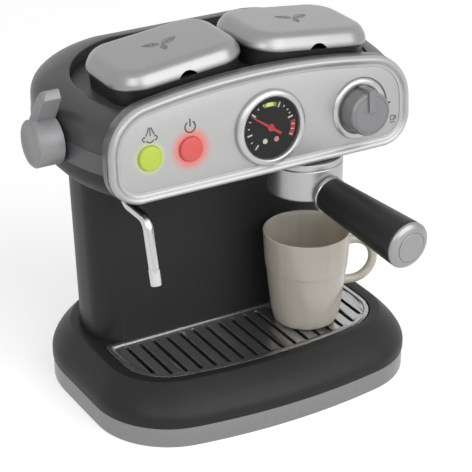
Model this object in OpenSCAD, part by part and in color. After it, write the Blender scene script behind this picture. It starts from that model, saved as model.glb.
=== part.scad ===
// Toy coffee maker with a tilted front panel, two lids, a steam wand, a portafilter and a mug.
// Millimetres. The origin is the middle of the base on the floor, -Y is the front, +Z is up.

/* [Base] */
// Width of the silver base band
base_w = 229; // [226:1:236]
// Depth of the silver base band
base_d = 184; // [180:1:188]
// Corner radius of the base at the front
base_front_r = 54; // [50:1:58]
// Corner radius of the base at the rear
base_rear_r = 74; // [68:1:78]
// Radius of the bowed front edge
front_bow = 400; // [360:10:600]
// Height of the silver band
band_h = 14; // [11:0.5:16]
// Height of the lip round the deck
deck_h = 38.5; // [37:0.5:42]
// Width of the sloping shell at the sides
slope_side = 12.5; // [11:0.5:14]
// Width of the sloping shell at the front
slope_front = 19; // [17:0.5:20]
// Width of the flat lip at the sides
lip_side = 8.2; // [7.8:0.2:9.6]
// Width of the flat lip at the front
lip_front = 5.7; // [4:0.1:6]
// Wall of the black plastic shells
shell_wall = 2.4; // [2:0.1:2.8]

/* [Drip grille and tray] */
// Thickness of the drip grille
grille_t = 2.5; // [2:0.1:3]
// Step from the lip down to the grille
grille_drop = 1.5; // [1:0.1:2]
// Height of the bead round the grille
bead_h = 1.1; // [0.6:0.1:1.4]
// Width of the bead round the grille
bead_w = 2.6; // [2:0.1:3.2]
// Distance between slots
slot_pitch = 10; // [9.5:0.1:10.4]
// Width of one slot
slot_w = 3; // [2:0.1:4]
// Number of slots
slot_count = 17; // [13:2:17]
// Solid margin between the slots and the edge of the grille
slot_margin = 5.5; // [5:0.5:9]

/* [Tower] */
// Width of the tower at its top
tower_w = 197.6; // [194:0.2:200]
// How far each side of the tower draws in towards its foot
tower_taper = 4.7; // [3:0.1:6]
// Distance from the front edge of the base to the tower
tower_set_back = 90.2; // [88:0.2:91]
// Depth of the tower
tower_d = 78; // [72:1:80]
// Radius of the upright edges at the front
tower_front_r = 18; // [12:1:24]
// Radius of the upright edges at the rear
tower_rear_r = 56; // [50:1:58]
// Depth of the part of the tower that belongs to the rear cover
rear_cover_d = 36; // [30:1:40]
// Gap between shells that meet
seam = 0.2; // [0.1:0.05:0.3]

/* [Head] */
// Height of the underside of the head
head_z = 163; // [160:0.5:170]
// Width of the head
head_w = 236; // [232:1:240]
// Distance from the origin to the rear of the head
head_rear_y = 86.5; // [86.5:0.5:90]
// Corner radius of the head at the rear
head_rear_r = 56; // [54:1:60]
// Radius of the curved sides of the head
head_side_r = 115; // [112:1:117]
// Height of the black bowl under the side band
bowl_h = 17.5; // [16:0.5:19]
// Height of the grey side band
side_band_h = 14; // [12:0.5:16]
// Height of the straight wall above the side band
shoulder_wall_h = 5.5; // [4:0.5:7]
// Height of the crown of the head above its underside
crown_h = 68; // [67:0.5:69]
// Radius of the crown seen from the front
crown_r = 620; // [560:10:700]
// Fall of the crown towards the front, per millimetre
crown_fall = 0.075; // [0.06:0.005:0.08]
// Width of the shoulder between the wall and the top insert
shoulder_w = 18; // [17:0.5:19]
// Length of the shoulder at the rear
shoulder_rear_w = 27; // [25:0.5:28]
// Fullness of the shoulder, 1 for a quarter ellipse and less for a squarer one
shoulder_bend = 0.6; // [0.5:0.05:0.8]
// Depth of the wall round the opening for the top insert
insert_wall_h = 12; // [11:0.5:13]
// Number of vent slots behind the lids
vent_count = 9; // [5:2:9]
// Distance between vent slots
vent_pitch = 4.4; // [4:0.1:5]

/* [Lids] */
// Space between each lid and the side of the opening round both lids
lid_margin = 6.8; // [6:0.2:8]
// Depth of each lid
lid_d = 67; // [65:0.5:68]
// Height of each lid
lid_h = 10.8; // [10.4:0.2:12]
// Corner radius of each lid
lid_r = 21.4; // [20:0.2:23]
// Space between the two lids
lid_gap = 2.4; // [2:0.2:4]
// Distance of the middle of the lids in front of the origin
lid_front_y = 5.5; // [4.5:0.25:5.5]
// Height of the seat of the lids above the crown
lid_rise_h = 2.6; // [2:0.2:3]
// Sideways tilt of each lid in degrees
lid_tilt = 6.2; // [5.6:0.2:6.6]
// Wall of the lids
lid_wall = 2; // [1.6:0.1:2.4]
// Height of the black collar under each lid
collar_h = 10.6; // [10:0.1:11]
// Radius of the hinge pins
pin_r = 1.5; // [1.3:0.1:1.7]
// Width of the thumb notch in the front edge
notch_w = 13; // [10:0.5:15]

/* [Control panel] */
// Width of the panel
panel_w = 219; // [214:1:222]
// Height of the panel at its middle
panel_h = 70; // [68.5:0.5:71]
// Lean of the panel in degrees
panel_tilt = 4; // [2:0.5:6]
// Distance from the origin to the back of the panel frame
panel_front = 45; // [44.5:0.25:46]
// Radius of the arched top edge
panel_bow = 495; // [420:5:600]
// Radius of the upper corners
panel_top_r = 31; // [28:1:33]
// Radius of the lower corners
panel_low_r = 21; // [20:1:25]
// Depth of the grey frame behind the panel
frame_t = 6; // [5.5:0.25:7]
// Thickness of the silver face
face_t = 3; // [2.6:0.1:3.4]
// Height of the round bead above the silver face
rim_h = 2.6; // [2:0.1:3.2]
// Width of the round bead
rim_w = 6; // [5:0.25:7]

/* [Controls] */
// Radius of each push button
button_r = 8; // [7:0.1:9]
// Travel of each push button
button_travel = 1.5; // [1:0.1:1.8]
// Sideways place of the steam button
steam_button_x = -82; // [-84:0.5:-80]
// Sideways place of the power button
power_button_x = -53.5; // [-56:0.5:-50]
// Height of the buttons above the lower edge of the panel
button_v = 28.5; // [26:0.5:31]
// Radius of the gauge bezel
gauge_r = 25.3; // [24:0.1:26]
// Radius of the gauge dial
dial_r = 20.4; // [19:0.1:21]
// Sideways place of the gauge
gauge_x = 3.5; // [0:0.5:5]
// Height of the gauge above the lower edge of the panel
gauge_v = 31; // [30:0.5:33]
// Radius of the selector knob
knob_r = 15; // [13:0.1:16]
// Height of the selector knob
knob_h = 14; // [12:0.5:16]
// Radius of the ring round the selector knob
knob_ring_r = 20.3; // [19:0.1:21]
// Sideways place of the selector knob
knob_x = 71; // [68:0.5:74]
// Height of the selector knob above the lower edge of the panel
knob_v = 29.5; // [28:0.5:32]
// Radial clearance of turning shafts
shaft_gap = 0.06; // [0.02:0.01:0.1]

/* [Steam lever] */
// Radius of the lever hub
hub_r = 15.4; // [14:0.1:17]
// Length of the lever hub
hub_w = 17; // [15:0.5:19]
// Length of the lever from its axis
lever_l = 36; // [32:1:38]
// Thickness of the lever blade
lever_t = 7; // [6:0.5:8]
// Forward lean of the lever blade in degrees
lever_lean = 31; // [20:1:35]
// Height of the lever axis above the underside of the head
lever_rise = 28.5; // [26:0.5:31]
// Distance of the lever axis behind the origin
lever_y = 4; // [0:0.5:8]
// Radius of the lever shaft
lever_shaft_r = 4; // [3.5:0.1:5]

/* [Steam wand] */
// Radius of the wand tube
wand_r = 3.4; // [3:0.1:3.8]
// Distance of the wand from the side of the head
wand_in = 33.5; // [31:0.5:37]
// Distance of the wand pivot in front of the origin
wand_y = 21; // [19:0.5:24]
// Length of the level arm of the wand
wand_arm = 16; // [14:0.5:18]
// Length of the hanging part of the wand
wand_drop = 36; // [30:1:38]
// Forward lean of the hanging part in degrees
wand_lean = 15; // [10:1:20]
// Bend radius of the wand
wand_bend = 8; // [7:0.5:9]

/* [Brew group] */
// Radius of the brew group and of the portafilter bowl
group_r = 25; // [24:0.5:26]
// Sideways place of the brew group
group_x = 43.5; // [40:0.5:46]
// Distance of the brew group in front of the origin
group_y = 31; // [30:0.25:32]
// Height of the fixed group ring
group_h = 4.6; // [4:0.2:5.5]
// Height of the portafilter bowl
bowl_cup_h = 21.8; // [20:0.2:24]
// Wall of the portafilter bowl
bowl_wall = 3.5; // [3:0.1:4]
// Direction of the handle, degrees to the right of straight ahead
handle_turn = 6; // [0:1:10]
// Downward slope of the handle in degrees
handle_dip = 4.2; // [2:0.2:6]
// Distance from the group axis to the end of the handle
handle_l = 108; // [100:1:112]
// Radius of the grip at the bowl
grip_r0 = 11.8; // [10.5:0.1:12.5]
// Radius of the grip at its end
grip_r1 = 15.4; // [14:0.1:16]

/* [Mug] */
// Radius of the mug at its rim
mug_r = 29.6; // [28:0.2:29.6]
// Height of the mug
mug_h = 67; // [60:1:72]
// Radius of the mug at its foot
mug_foot_r = 21.5; // [20:0.25:23]
// Sideways place of the mug
mug_x = 45.4; // [44:0.2:47]
// Distance of the mug in front of the origin
mug_y = 31.8; // [31.8:0.1:32.4]
// Wall of the mug
mug_wall = 1.6; // [1.2:0.1:2]
// Radius of the loop of the mug handle
mug_loop_r = 15; // [13:0.5:16]
// Radius of the rod of the mug handle
mug_rod_r = 3.1; // [2.6:0.1:3.4]
// Direction of the mug handle, degrees from the right towards the front
mug_turn = 11; // [0:1:20]

/* [Hidden] */

black = [0.16, 0.16, 0.165];
charcoal = [0.3, 0.3, 0.305];
silver = [0.72, 0.73, 0.74];
grey = [0.42, 0.42, 0.425];
steel = [0.6, 0.61, 0.62];

// Gap left between bodies that touch softly
soft_gap = 0.3;
// Steps in each rounded corner of an outline
corner_steps = 8;
eps = 0.01;
big = 400;
$fn = 48;

// Heights
deck_z = deck_h - grille_drop;
rim_wall = 3;
plate_z0 = 1.2;
plate_t = 2.4;
plate_z1 = plate_z0 + plate_t;
ledge_t = 2;
ledge_w = 2;
band_z0 = head_z + bowl_h;
band_z1 = band_z0 + side_band_h;
crown_z0 = band_z1 + shoulder_wall_h;
crown_z1 = head_z + crown_h;

// ---------- outlines ----------

// Points of an arc about (cx, cy) from angle a0 to a1 in n steps
function arc(cx, cy, r, a0, a1, n) =
    [for (i = [0:n]) [cx + r * cos(a0 + (a1 - a0) * i / n), cy + r * sin(a0 + (a1 - a0) * i / n)]];

// Angle below the X axis at which a corner meets the bowed front
function bow_angle(a, rf, bow) = acos((a - rf) / (bow - rf));

// Y of the centres of the front corners
function corner_y(a, f, rf, bow) = bow - f - sqrt(pow(bow - rf, 2) - pow(a - rf, 2));

// Outline with half width a, bowed front at y = -f, straight rear at y = r and rounded corners
function plan(a, f, r, rf, rr, bow, n = corner_steps) =
    let (phi = bow_angle(a, rf, bow), cy = corner_y(a, f, rf, bow))
    concat(
        arc(a - rf, cy, rf, -phi, 0, n),
        arc(a - rr, r - rr, rr, 0, 90, n),
        arc(rr - a, r - rr, rr, 90, 180, n),
        arc(rf - a, cy, rf, 180, 180 + phi, n),
        [for (i = [1:n - 1])
            let (t = 180 + phi + (180 - 2 * phi) * i / n) [bow * cos(t), bow - f + bow * sin(t)]]
    );

// Y of the bowed front edge of a plan at a given x
function front_edge(x, a, f, rf, bow) =
    let (cx = a - rf, cy = corner_y(a, f, rf, bow), tx = bow * cos(bow_angle(a, rf, bow)))
    abs(x) < tx
        ? bow - f - sqrt(bow * bow - x * x)
        : cy - sqrt(rf * rf - pow(abs(x) - cx, 2));

// Outline of the base, drawn in by the given distances at the sides and rear, and at the front
function base_plan(side, front) =
    plan(base_w / 2 - side, base_d / 2 - front, base_d / 2 - side, base_front_r - side,
         base_rear_r - side, front_bow - side);

function base_ring(z, side, front) = [for (p = base_plan(side, front)) [p.x, p.y, z]];

// Outline of the tower at a height, drawn in by d: its sides draw in towards the foot
function tower_plan(d, z) =
    let (draft = tower_taper * (tower_z1 - z) / (tower_z1 - tower_z0))
    plan(tower_w / 2 - draft - d, -tower_y0 - d, tower_y0 + tower_d - d, tower_front_r - d,
         tower_rear_r - d, 100 * tower_w, 12);
tower_y0 = tower_set_back - base_d / 2;

// Outline of the head: curved sides, round rear corners, and a straight front ahead of the panel's back,
// which cuts it. Each distance draws in its own side.
head_side_y = 8;
head_front = 56;
function head_plan(side, rear, rear_r, front) =
    let (r = head_side_r - side, cx = head_w / 2 - head_side_r,
         t = asin((head_side_y + head_front - front) / r))
    concat(
        arc(cx, head_side_y, r, -t, 0, 6),
        arc(head_w / 2 - side - rear_r, head_rear_y - rear - rear_r, rear_r, 0, 90, 10),
        arc(side + rear_r - head_w / 2, head_rear_y - rear - rear_r, rear_r, 90, 180, 10),
        arc(-cx, head_side_y, r, 180, 180 + t, 6)
    );
function head_inset(d) = head_plan(d, d, head_rear_r - d, 0.4 * d);

// Outline of a rounded rectangle round the origin
function pill(w, d, r, n = corner_steps) = concat(
    arc(w / 2 - r, d / 2 - r, r, 0, 90, n),
    arc(r - w / 2, d / 2 - r, r, 90, 180, n),
    arc(r - w / 2, r - d / 2, r, 180, 270, n),
    arc(w / 2 - r, r - d / 2, r, 270, 360, n)
);

// Outline of the panel in its own plane, lower edge at v = 0, drawn in by d
function panel_plan(d) =
    [for (p = plan(panel_w / 2 - d, panel_h - d, -d, panel_top_r - d, panel_low_r - d, panel_bow - d))
        [-p.x, -p.y]];

function lift(points, z) = [for (p = points) [p.x, p.y, z]];

// ---------- solids from outlines ----------

// Skin through a list of rings of equally many points, capped at both ends
module loft(rings) {
    n = len(rings[0]);
    m = len(rings);
    points = [for (r = rings) each r];
    sides = [for (i = [0:m - 2], j = [0:n - 1])
        let (k = (j + 1) % n)
        each [[(i + 1) * n + j, i * n + k, i * n + j], [(i + 1) * n + j, (i + 1) * n + k, i * n + k]]];
    first = [for (j = [0:n - 1]) j];
    last = [for (j = [n - 1:-1:0]) (m - 1) * n + j];
    polyhedron(points = points, faces = concat([first], sides, [last]), convexity = 6);
}

// Skin through rings that run round a hollow section and close on the first ring
module loft_round(rings) {
    n = len(rings[0]);
    m = len(rings);
    points = [for (r = rings) each r];
    sides = [for (i = [0:m - 1], j = [0:n - 1])
        let (k = (j + 1) % n, h = (i + 1) % m)
        each [[h * n + j, i * n + k, i * n + j], [h * n + j, h * n + k, i * n + k]]];
    polyhedron(points = points, faces = sides, convexity = 6);
}

module prism(points, z0, z1) {
    translate([0, 0, z0])
        linear_extrude(z1 - z0)
            polygon(points);
}

module ring_prism(outer, inner, z0, z1) {
    difference() {
        prism(outer, z0, z1);
        prism(inner, z0 - 1, z1 + 1);
    }
}

module tube(r_out, r_in, z0, z1) {
    translate([0, 0, z0])
        difference() {
            cylinder(h = z1 - z0, r = r_out);
            translate([0, 0, -1])
                cylinder(h = z1 - z0 + 2, r = r_in);
        }
}

// Hose: an eight-sided tube swept along points
function unit(v) = v / norm(v);
function along(p, i) = unit(p[min(i + 1, len(p) - 1)] - p[max(i - 1, 0)]);
function hose_ring(p, i, r) =
    let (t = along(p, i), side = unit(cross(t, [0.31, 0.95, 0.05])), up = cross(side, t))
    [for (k = [7:-1:0]) p[i] + r * (cos(45 * k) * side + sin(45 * k) * up)];
module hose(p, r) {
    loft([for (i = [0:len(p) - 1]) hose_ring(p, i, r)]);
}

// ---------- frames ----------

// Plane of the panel: x to the right, y up the panel, z out of it
module at_panel() {
    translate([0, -panel_front, panel_z])
        rotate([90 - panel_tilt, 0, 0])
            children();
}
panel_z = head_z - 0.5;
face_w = frame_t + face_t;

// Everything in front of the back of the panel frame
module panel_cut() {
    at_panel()
        translate([-big / 2, -big / 2, 0])
            cube([big, big, big / 2]);
}

// Seat of a lid: its lower face is the plane z = 0
lid_w = (head_w - lid_gap) / 2 - shoulder_w - lid_margin;
lid_x = (lid_w + lid_gap) / 2;
lid_y = -lid_front_y;
lid_z = crown_z1 + lid_rise_h;
module at_lid(side) {
    translate([side * lid_x, lid_y, lid_z])
        rotate([0, side * lid_tilt, 0])
            children();
}
// A point of a lid's frame in the frame of the whole
function lid_point(side, p) =
    let (a = side * lid_tilt)
    [side * lid_x + p.x * cos(a) + p.z * sin(a), lid_y + p.y, lid_z - p.x * sin(a) + p.z * cos(a)];
hinge_y = lid_d / 2 - 5;
hinge_z = 3;
ear_x = lid_w / 2 - 22;
ear_t = 3;
lug_t = 4;
ear_r = pin_r + 1.1;

// ---------- base ----------

module base_rim() {
    color(silver)
        difference() {
            union() {
                ring_prism(base_plan(0, 0), base_plan(rim_wall, rim_wall), 0, band_h);
                ring_prism(base_plan(rim_wall - eps, rim_wall - eps),
                           base_plan(rim_wall + ledge_w, rim_wall + ledge_w), plate_z1, plate_z1 + ledge_t);
                intersection() {
                    for (p = screw_at, m = [-1, 1])
                        translate([m * p.x, p.y, plate_z1]) {
                            cylinder(h = 6, r = lug_r);
                            translate([m > 0 ? 0 : -lug_reach, -lug_r, 0])
                                cube([lug_reach, 2 * lug_r, 6]);
                        }
                    prism(base_plan(rim_wall / 2, rim_wall / 2), 0, band_h);
                }
            }
            for (p = screw_at, m = [-1, 1])
                translate([m * p.x, p.y, 0])
                    cylinder(h = 20, r = screw_r + 0.02);
        }
}
screw_r = 1.5;
lug_r = 4;
lug_reach = 16;
screw_at = [[base_w / 2 - 12, -28], [base_w / 2 - 15, 36]];

// Section of the sloping shell: height, inset at the sides and rear, inset at the front
shell_bulge = 0.6;
slope_z = band_h + 5;
lip_in = slope_side + lip_side;
lip_in_front = slope_front + lip_front;
skirt = 8;
function slope_row(v, under = 0) =
    let (u = pow(v, 1.6))
    [slope_z + (deck_h - slope_z) * v - 0.7 * under, -shell_bulge + (slope_side + shell_bulge) * u + 0.7 * under,
     -shell_bulge + (slope_front + shell_bulge) * u + 0.7 * under];
shell_section = concat(
    [[band_h, -shell_bulge, -shell_bulge]],
    [for (v = [0, 0.22, 0.42, 0.6, 0.8, 0.96]) slope_row(v)],
    [[deck_h, slope_side + 0.3, slope_front + 0.3], [deck_h, lip_in - 0.6, lip_in_front - 0.6],
     [deck_h - 0.6, lip_in, lip_in_front], [deck_z - skirt, lip_in, lip_in_front],
     [deck_z - skirt, lip_in - 2, lip_in_front - 2],
     [deck_h - shell_wall, lip_in - 2, lip_in_front - 2],
     [deck_h - shell_wall, slope_side + 1.4, slope_front + 1.4]],
    [for (v = [0.8, 0.42, 0]) slope_row(v, shell_wall)],
    [[band_h, rim_wall, rim_wall]]
);

// Ways through the deck and through the floor of the head
way_in = 12;
way_d = 44;
way_w = 120;
hatch_w = 152;
module base_shell() {
    color(black) {
        loft_round([for (s = shell_section) base_ring(s[0], s[1], s[2])]);
        // Deck under the tower, with a wide opening over the pump and the batteries
        difference() {
            intersection() {
                prism(base_plan(lip_in - 1, lip_in_front - 1), deck_h - shell_wall, deck_h);
                translate([-big / 2, tower_y0, 0])
                    cube([big, big, big]);
            }
            translate([-hatch_w / 2, tower_y0 + way_in, 0])
                cube([hatch_w, way_d + 2, big]);
        }
        // Wall between the drip tray and the machine
        translate([-grille_a, tower_y0, plate_z1])
            cube([2 * grille_a, shell_wall, deck_h - plate_z1 - 1]);
    }
}

// Battery compartment under the tower
cell_r = 7.1;
cell_l = 50.5;
cell_pitch = 14.6;
box_w = 3 * cell_pitch + 3.4;
box_l = cell_l + 5;
box_y0 = tower_y0 + 16;
box_wall = 1.6;
box_h = 2 * cell_r + 2.2;
cell_z = plate_z1 + cell_r + soft_gap;
door_screw_y = box_y0 + box_l + 7;

module base_plate() {
    color(black)
        difference() {
            prism(base_plan(rim_wall + seam, rim_wall + seam), plate_z0, plate_z1);
            translate([-box_w / 2 + box_wall, box_y0 + box_wall, 0])
                cube([box_w - 2 * box_wall, box_l - 2 * box_wall, 10]);
            translate([-box_w / 2 - 2, box_y0 - 2, 0])
                cube([box_w + 4, box_l + 4 + 12, plate_z0 + 1.2]);
            for (p = screw_at, m = [-1, 1])
                translate([m * p.x, p.y, 0])
                    cylinder(h = 10, r = screw_r + 0.2);
            translate([0, door_screw_y, 0])
                cylinder(h = 10, r = screw_r + 0.2);
        }
}

module battery_box() {
    color(black) {
        translate([-box_w / 2, box_y0, plate_z1])
            difference() {
                cube([box_w, box_l, box_h]);
                translate([box_wall, box_wall, -1])
                    cube([box_w - 2 * box_wall, box_l - 2 * box_wall, box_h - box_wall + 1]);
            }
        translate([0, door_screw_y, 0])
            tube(4, screw_r + 0.2, plate_z1, plate_z1 + 10);
        translate([-4, box_y0 + box_l - eps, plate_z1])
            cube([8, 4, 8]);
    }
}

module battery_cells() {
    color("gold")
        for (i = [-1:1])
            translate([i * cell_pitch, box_y0 + (box_l - cell_l) / 2, cell_z])
                rotate([-90, 0, 0]) {
                    cylinder(h = cell_l - 1.4, r = cell_r);
                    cylinder(h = cell_l, r = 2.6);
                }
}

module battery_door() {
    color(black)
        difference() {
            translate([-box_w / 2 - 2 + seam, box_y0 - 2 + seam, plate_z0])
                cube([box_w + 4 - 2 * seam, box_l + 16 - 2 * seam, 1.2]);
            translate([0, door_screw_y, 0])
                cylinder(h = 10, r = screw_r + 0.2);
            for (i = [0:3])
                translate([-8, box_y0 + 8 + 3 * i, plate_z0 - 1])
                    cube([16, 1.2, 1.6]);
        }
}

module screw(l) {
    cylinder(h = 0.9, r = screw_r + 1.3);
    cylinder(h = l, r = screw_r);
}

module base_screws() {
    color(steel) {
        for (p = screw_at, m = [-1, 1])
            translate([m * p.x, p.y, plate_z0 - 0.9])
                screw(8);
        translate([0, door_screw_y, plate_z0 - 0.9])
            screw(11);
    }
}

// ---------- drip tray and grille ----------

grille_gap = 0.8;
grille_in = lip_in + grille_gap;
grille_in_front = lip_in_front + grille_gap;
grille_a = base_w / 2 - grille_in;
grille_f = base_d / 2 - grille_in_front;
grille_rf = base_front_r - grille_in;
grille_bow = front_bow - grille_in;
grille_rear = tower_y0 - soft_gap;
grille_z0 = deck_z - grille_t;

function tray_plan(d) =
    plan(grille_a - d, grille_f - d, grille_rear - d, grille_rf - d, 3, grille_bow - d);

slot_rear = grille_rear - slot_margin;
function slot_front(x) =
    front_edge(x, grille_a - slot_margin, grille_f - slot_margin, grille_rf - slot_margin,
               grille_bow - slot_margin) + slot_w / 2;

module slot(x) {
    y0 = slot_front(x);
    y1 = slot_rear - slot_w / 2;
    translate([x, 0, grille_z0 - 1])
        linear_extrude(grille_t + 2) {
            translate([-slot_w / 2, y0])
                square([slot_w, y1 - y0]);
            translate([0, y0])
                circle(r = slot_w / 2, $fn = 24);
            translate([0, y1])
                circle(r = slot_w / 2, $fn = 24);
        }
}

module drip_grille() {
    color(silver) {
        difference() {
            prism(tray_plan(0), grille_z0, deck_z);
            for (i = [0:slot_count - 1])
                slot((i - (slot_count - 1) / 2) * slot_pitch);
        }
        ring_prism(tray_plan(0), tray_plan(bead_w), deck_z - eps, deck_z + bead_h);
    }
}

tray_wall = 2;
tray_top = grille_z0 - soft_gap;
module drip_tray() {
    color(black)
        difference() {
            prism(tray_plan(0), plate_z1, tray_top);
            prism(tray_plan(tray_wall), plate_z1 + tray_wall, tray_top + 1);
        }
}

// ---------- tower ----------

tower_wall = 2.6;
tower_split = tower_y0 + tower_d - rear_cover_d;
tower_z0 = deck_h;
tower_z1 = head_z;
speaker_z = 96;
speaker_r = 18;
back_y = tower_y0 + tower_d - tower_wall;

module tower_loft(d, over) {
    loft([for (z = [tower_z0 - over, tower_z1 + over]) lift(tower_plan(d, z), z)]);
}

// Wall of the tower between insets d0 and d1, over the depth from y0 to y1
module tower_ring(d0, d1, y0, y1) {
    intersection() {
        difference() {
            tower_loft(d0, 0);
            tower_loft(d1, 1);
        }
        translate([-big / 2, y0, 0])
            cube([big, y1 - y0, big]);
    }
}

lap_t = 2;
lap_l = 6;
module tower_shell() {
    color(black) {
        tower_ring(0, tower_wall, -big / 2, tower_split - seam / 2);
        // Lip inside the edge of the rear cover
        tower_ring(tower_wall - eps, tower_wall + seam + lap_t, tower_split - 2 * lap_l, tower_split - 1);
        tower_ring(tower_wall + seam, tower_wall + seam + lap_t, tower_split - 2 * lap_l, tower_split + lap_l);
    }
}

post_w = 9;
rear_screw_x = 34;
rear_screw_z = [tower_z0 + 14, tower_z1 - 14];
module rear_cover() {
    color(black)
        difference() {
            tower_ring(0, tower_wall, tower_split + seam / 2, big / 2);
            // Sound holes over the speaker
            for (ring = [1:3], k = [0:6 * ring - 1])
                translate([4.4 * ring * cos(60 * k / ring), 0, speaker_z + 4.4 * ring * sin(60 * k / ring)])
                    rotate([-90, 0, 0])
                        cylinder(h = big, r = 1.1, $fn = 16);
            for (x = [-rear_screw_x, rear_screw_x], z = rear_screw_z)
                translate([x, back_y - 1, z])
                    rotate([-90, 0, 0])
                        cylinder(h = 10, r = screw_r + 0.2);
        }
}

module tower_posts() {
    color(black)
        difference() {
            for (x = [-rear_screw_x, rear_screw_x])
                translate([x - post_w / 2, back_y - soft_gap - post_w, tower_z0])
                    cube([post_w, post_w, tower_z1 - tower_z0]);
            for (x = [-rear_screw_x, rear_screw_x], z = rear_screw_z)
                translate([x, back_y - 20, z])
                    rotate([-90, 0, 0])
                        cylinder(h = 30, r = screw_r + 0.02);
        }
}

module rear_screws() {
    color(steel)
        for (x = [-rear_screw_x, rear_screw_x], z = rear_screw_z)
            translate([x, back_y + tower_wall + 0.9, z])
                rotate([90, 0, 0])
                    screw(9);
}

// ---------- head ----------

// Height of the crown surface
function crown(p) = crown_z1 - p.x * p.x / (2 * crown_r) - crown_fall * max(0, 45 - p.y);

shoulder_top_r = 50;
shoulder_front = 6;
function shoulder_ring(t, wall) =
    let (q = 1 - cos(t),
         s = wall + (shoulder_w - 2 * wall) * q,
         r = wall + (shoulder_rear_w - 2 * wall) * q,
         f = wall + (shoulder_front - 2 * wall) * q,
         rr = head_rear_r - wall - (head_rear_r - shoulder_top_r - 2 * wall) * q)
    [for (p = head_plan(s, r, rr, f)) [p.x, p.y, crown_z0 + (crown(p) - wall - crown_z0) * pow(sin(t), shoulder_bend)]];
function opening_ring(d, drop) =
    [for (p = head_plan(shoulder_w - d, shoulder_rear_w - d, shoulder_top_r + d, shoulder_front - d))
        [p.x, p.y, crown(p) - drop]];

module head_bowl() {
    section = [[head_z, 10], [head_z + 1.2, 7.6], [head_z + 4.5, 4.6], [head_z + 9.5, 2.2], [band_z0, 0.8],
               [band_z0, 0.8 + shell_wall + 0.2], [head_z + 9.5, 2.2 + shell_wall + 0.2],
               [head_z + 5.5, 7.5], [head_z + shell_wall, 12.5]];
    color(black)
        difference() {
            loft([for (s = section) lift(head_inset(s[1]), s[0])]);
            panel_cut();
            // Way for hoses and wires into the tower
            translate([-way_w / 2, tower_y0 + way_in, head_z - 1])
                cube([way_w, way_d, 8]);
            translate([group_x, -group_y, head_z - 1])
                cylinder(h = 8, r = neck_r + 0.1);
            translate([-wand_x, -wand_y, head_z - 1])
                cylinder(h = 8, r = socket_r - 1.9);
        }
}

module side_band() {
    color(grey)
        difference() {
            ring_prism(head_inset(-0.3), head_inset(shell_wall + 0.4), band_z0, band_z1);
            panel_cut();
            lever_hole();
        }
}

boss_r = 8;
module lever_hole() {
    translate([-big / 2, lever_y, lever_z])
        rotate([0, 90, 0])
            cylinder(h = big / 2 - head_w / 4, r = boss_r + 0.1);
}

module head_crown() {
    color(charcoal)
        difference() {
            loft_round(concat(
                [lift(head_plan(0, 0, head_rear_r, 0), band_z1)],
                [for (t = [0:15:90]) shoulder_ring(t, 0)],
                [opening_ring(0, insert_wall_h), opening_ring(shell_wall, insert_wall_h)],
                [for (t = [90:-22.5:0]) shoulder_ring(t, shell_wall)],
                [lift(head_plan(shell_wall, shell_wall, head_rear_r - shell_wall, shell_wall), band_z1)]
            ));
            panel_cut();
            lever_hole();
        }
}

slab_top = -collar_h - 0.4;
slab_t = 2.5;
vent_w = 2.2;
vent_l = 20;
tank_r = 9;
flange = 4;
tank_w = lid_w - 22;
// The flange stays in front of the ears of the hinge
tank_d = 2 * (hinge_y - ear_r - soft_gap - flange);

module insert_slab(side) {
    intersection() {
        prism(head_plan(shoulder_w + soft_gap, shoulder_rear_w + soft_gap, shoulder_top_r, 0), head_z, head_z + crown_h + 20);
        at_lid(side)
            translate([-big / 2, -big / 2, slab_top - slab_t])
                cube([big, big, slab_t]);
        translate([side > 0 ? 0 : -big, -big / 2, 0])
            cube([big, big, big]);
    }
}

module collar(side) {
    inset = 1.5;
    at_lid(side) {
        difference() {
            ring_prism(pill(lid_w - 2 * inset, lid_d - 2 * inset, lid_r - inset),
                       pill(lid_w - 2 * inset - 5, lid_d - 2 * inset - 5, lid_r - inset - 2.5),
                       slab_top - eps, -0.4);
            // Room for the rear edge of the lid as it swings down
            translate([-lid_w, lid_d / 2 - 13, hinge_z - norm([5, hinge_z]) - 0.6])
                cube([2 * lid_w, 20, 20]);
        }
        for (s = [-1, 1])
            translate([s * ear_x - ear_t / 2, hinge_y, hinge_z])
                rotate([0, 90, 0])
                    difference() {
                        union() {
                            cylinder(h = ear_t, r = ear_r);
                            translate([0, -ear_r, 0])
                                cube([hinge_z - slab_top, 2 * ear_r, ear_t]);
                        }
                        translate([0, 0, -1])
                            cylinder(h = ear_t + 2, r = pin_r + 0.02);
                    }
    }
}

module top_insert() {
    color(black)
        difference() {
            union() {
                for (s = [-1, 1])
                    insert_slab(s);
                for (s = [-1, 1])
                    collar(s);
            }
            panel_cut();
            for (s = [-1, 1])
                at_lid(s)
                    prism(pill(tank_w + 0.6, tank_d + 0.6, tank_r + 0.3), slab_top - slab_t - 1, slab_top + 1);
            // Vents behind the lids
            for (i = [0:vent_count - 1])
                translate([(i - (vent_count - 1) / 2) * vent_pitch - vent_w / 2, lid_y + lid_d / 2 + 5, band_z1])
                    cube([vent_w, vent_l, 60]);
        }
}

notch_h = 4;
notch_cut_r = (notch_w * notch_w / 4 + notch_h * notch_h) / (2 * notch_h);
lug_top = lid_h * 0.69;

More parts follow.
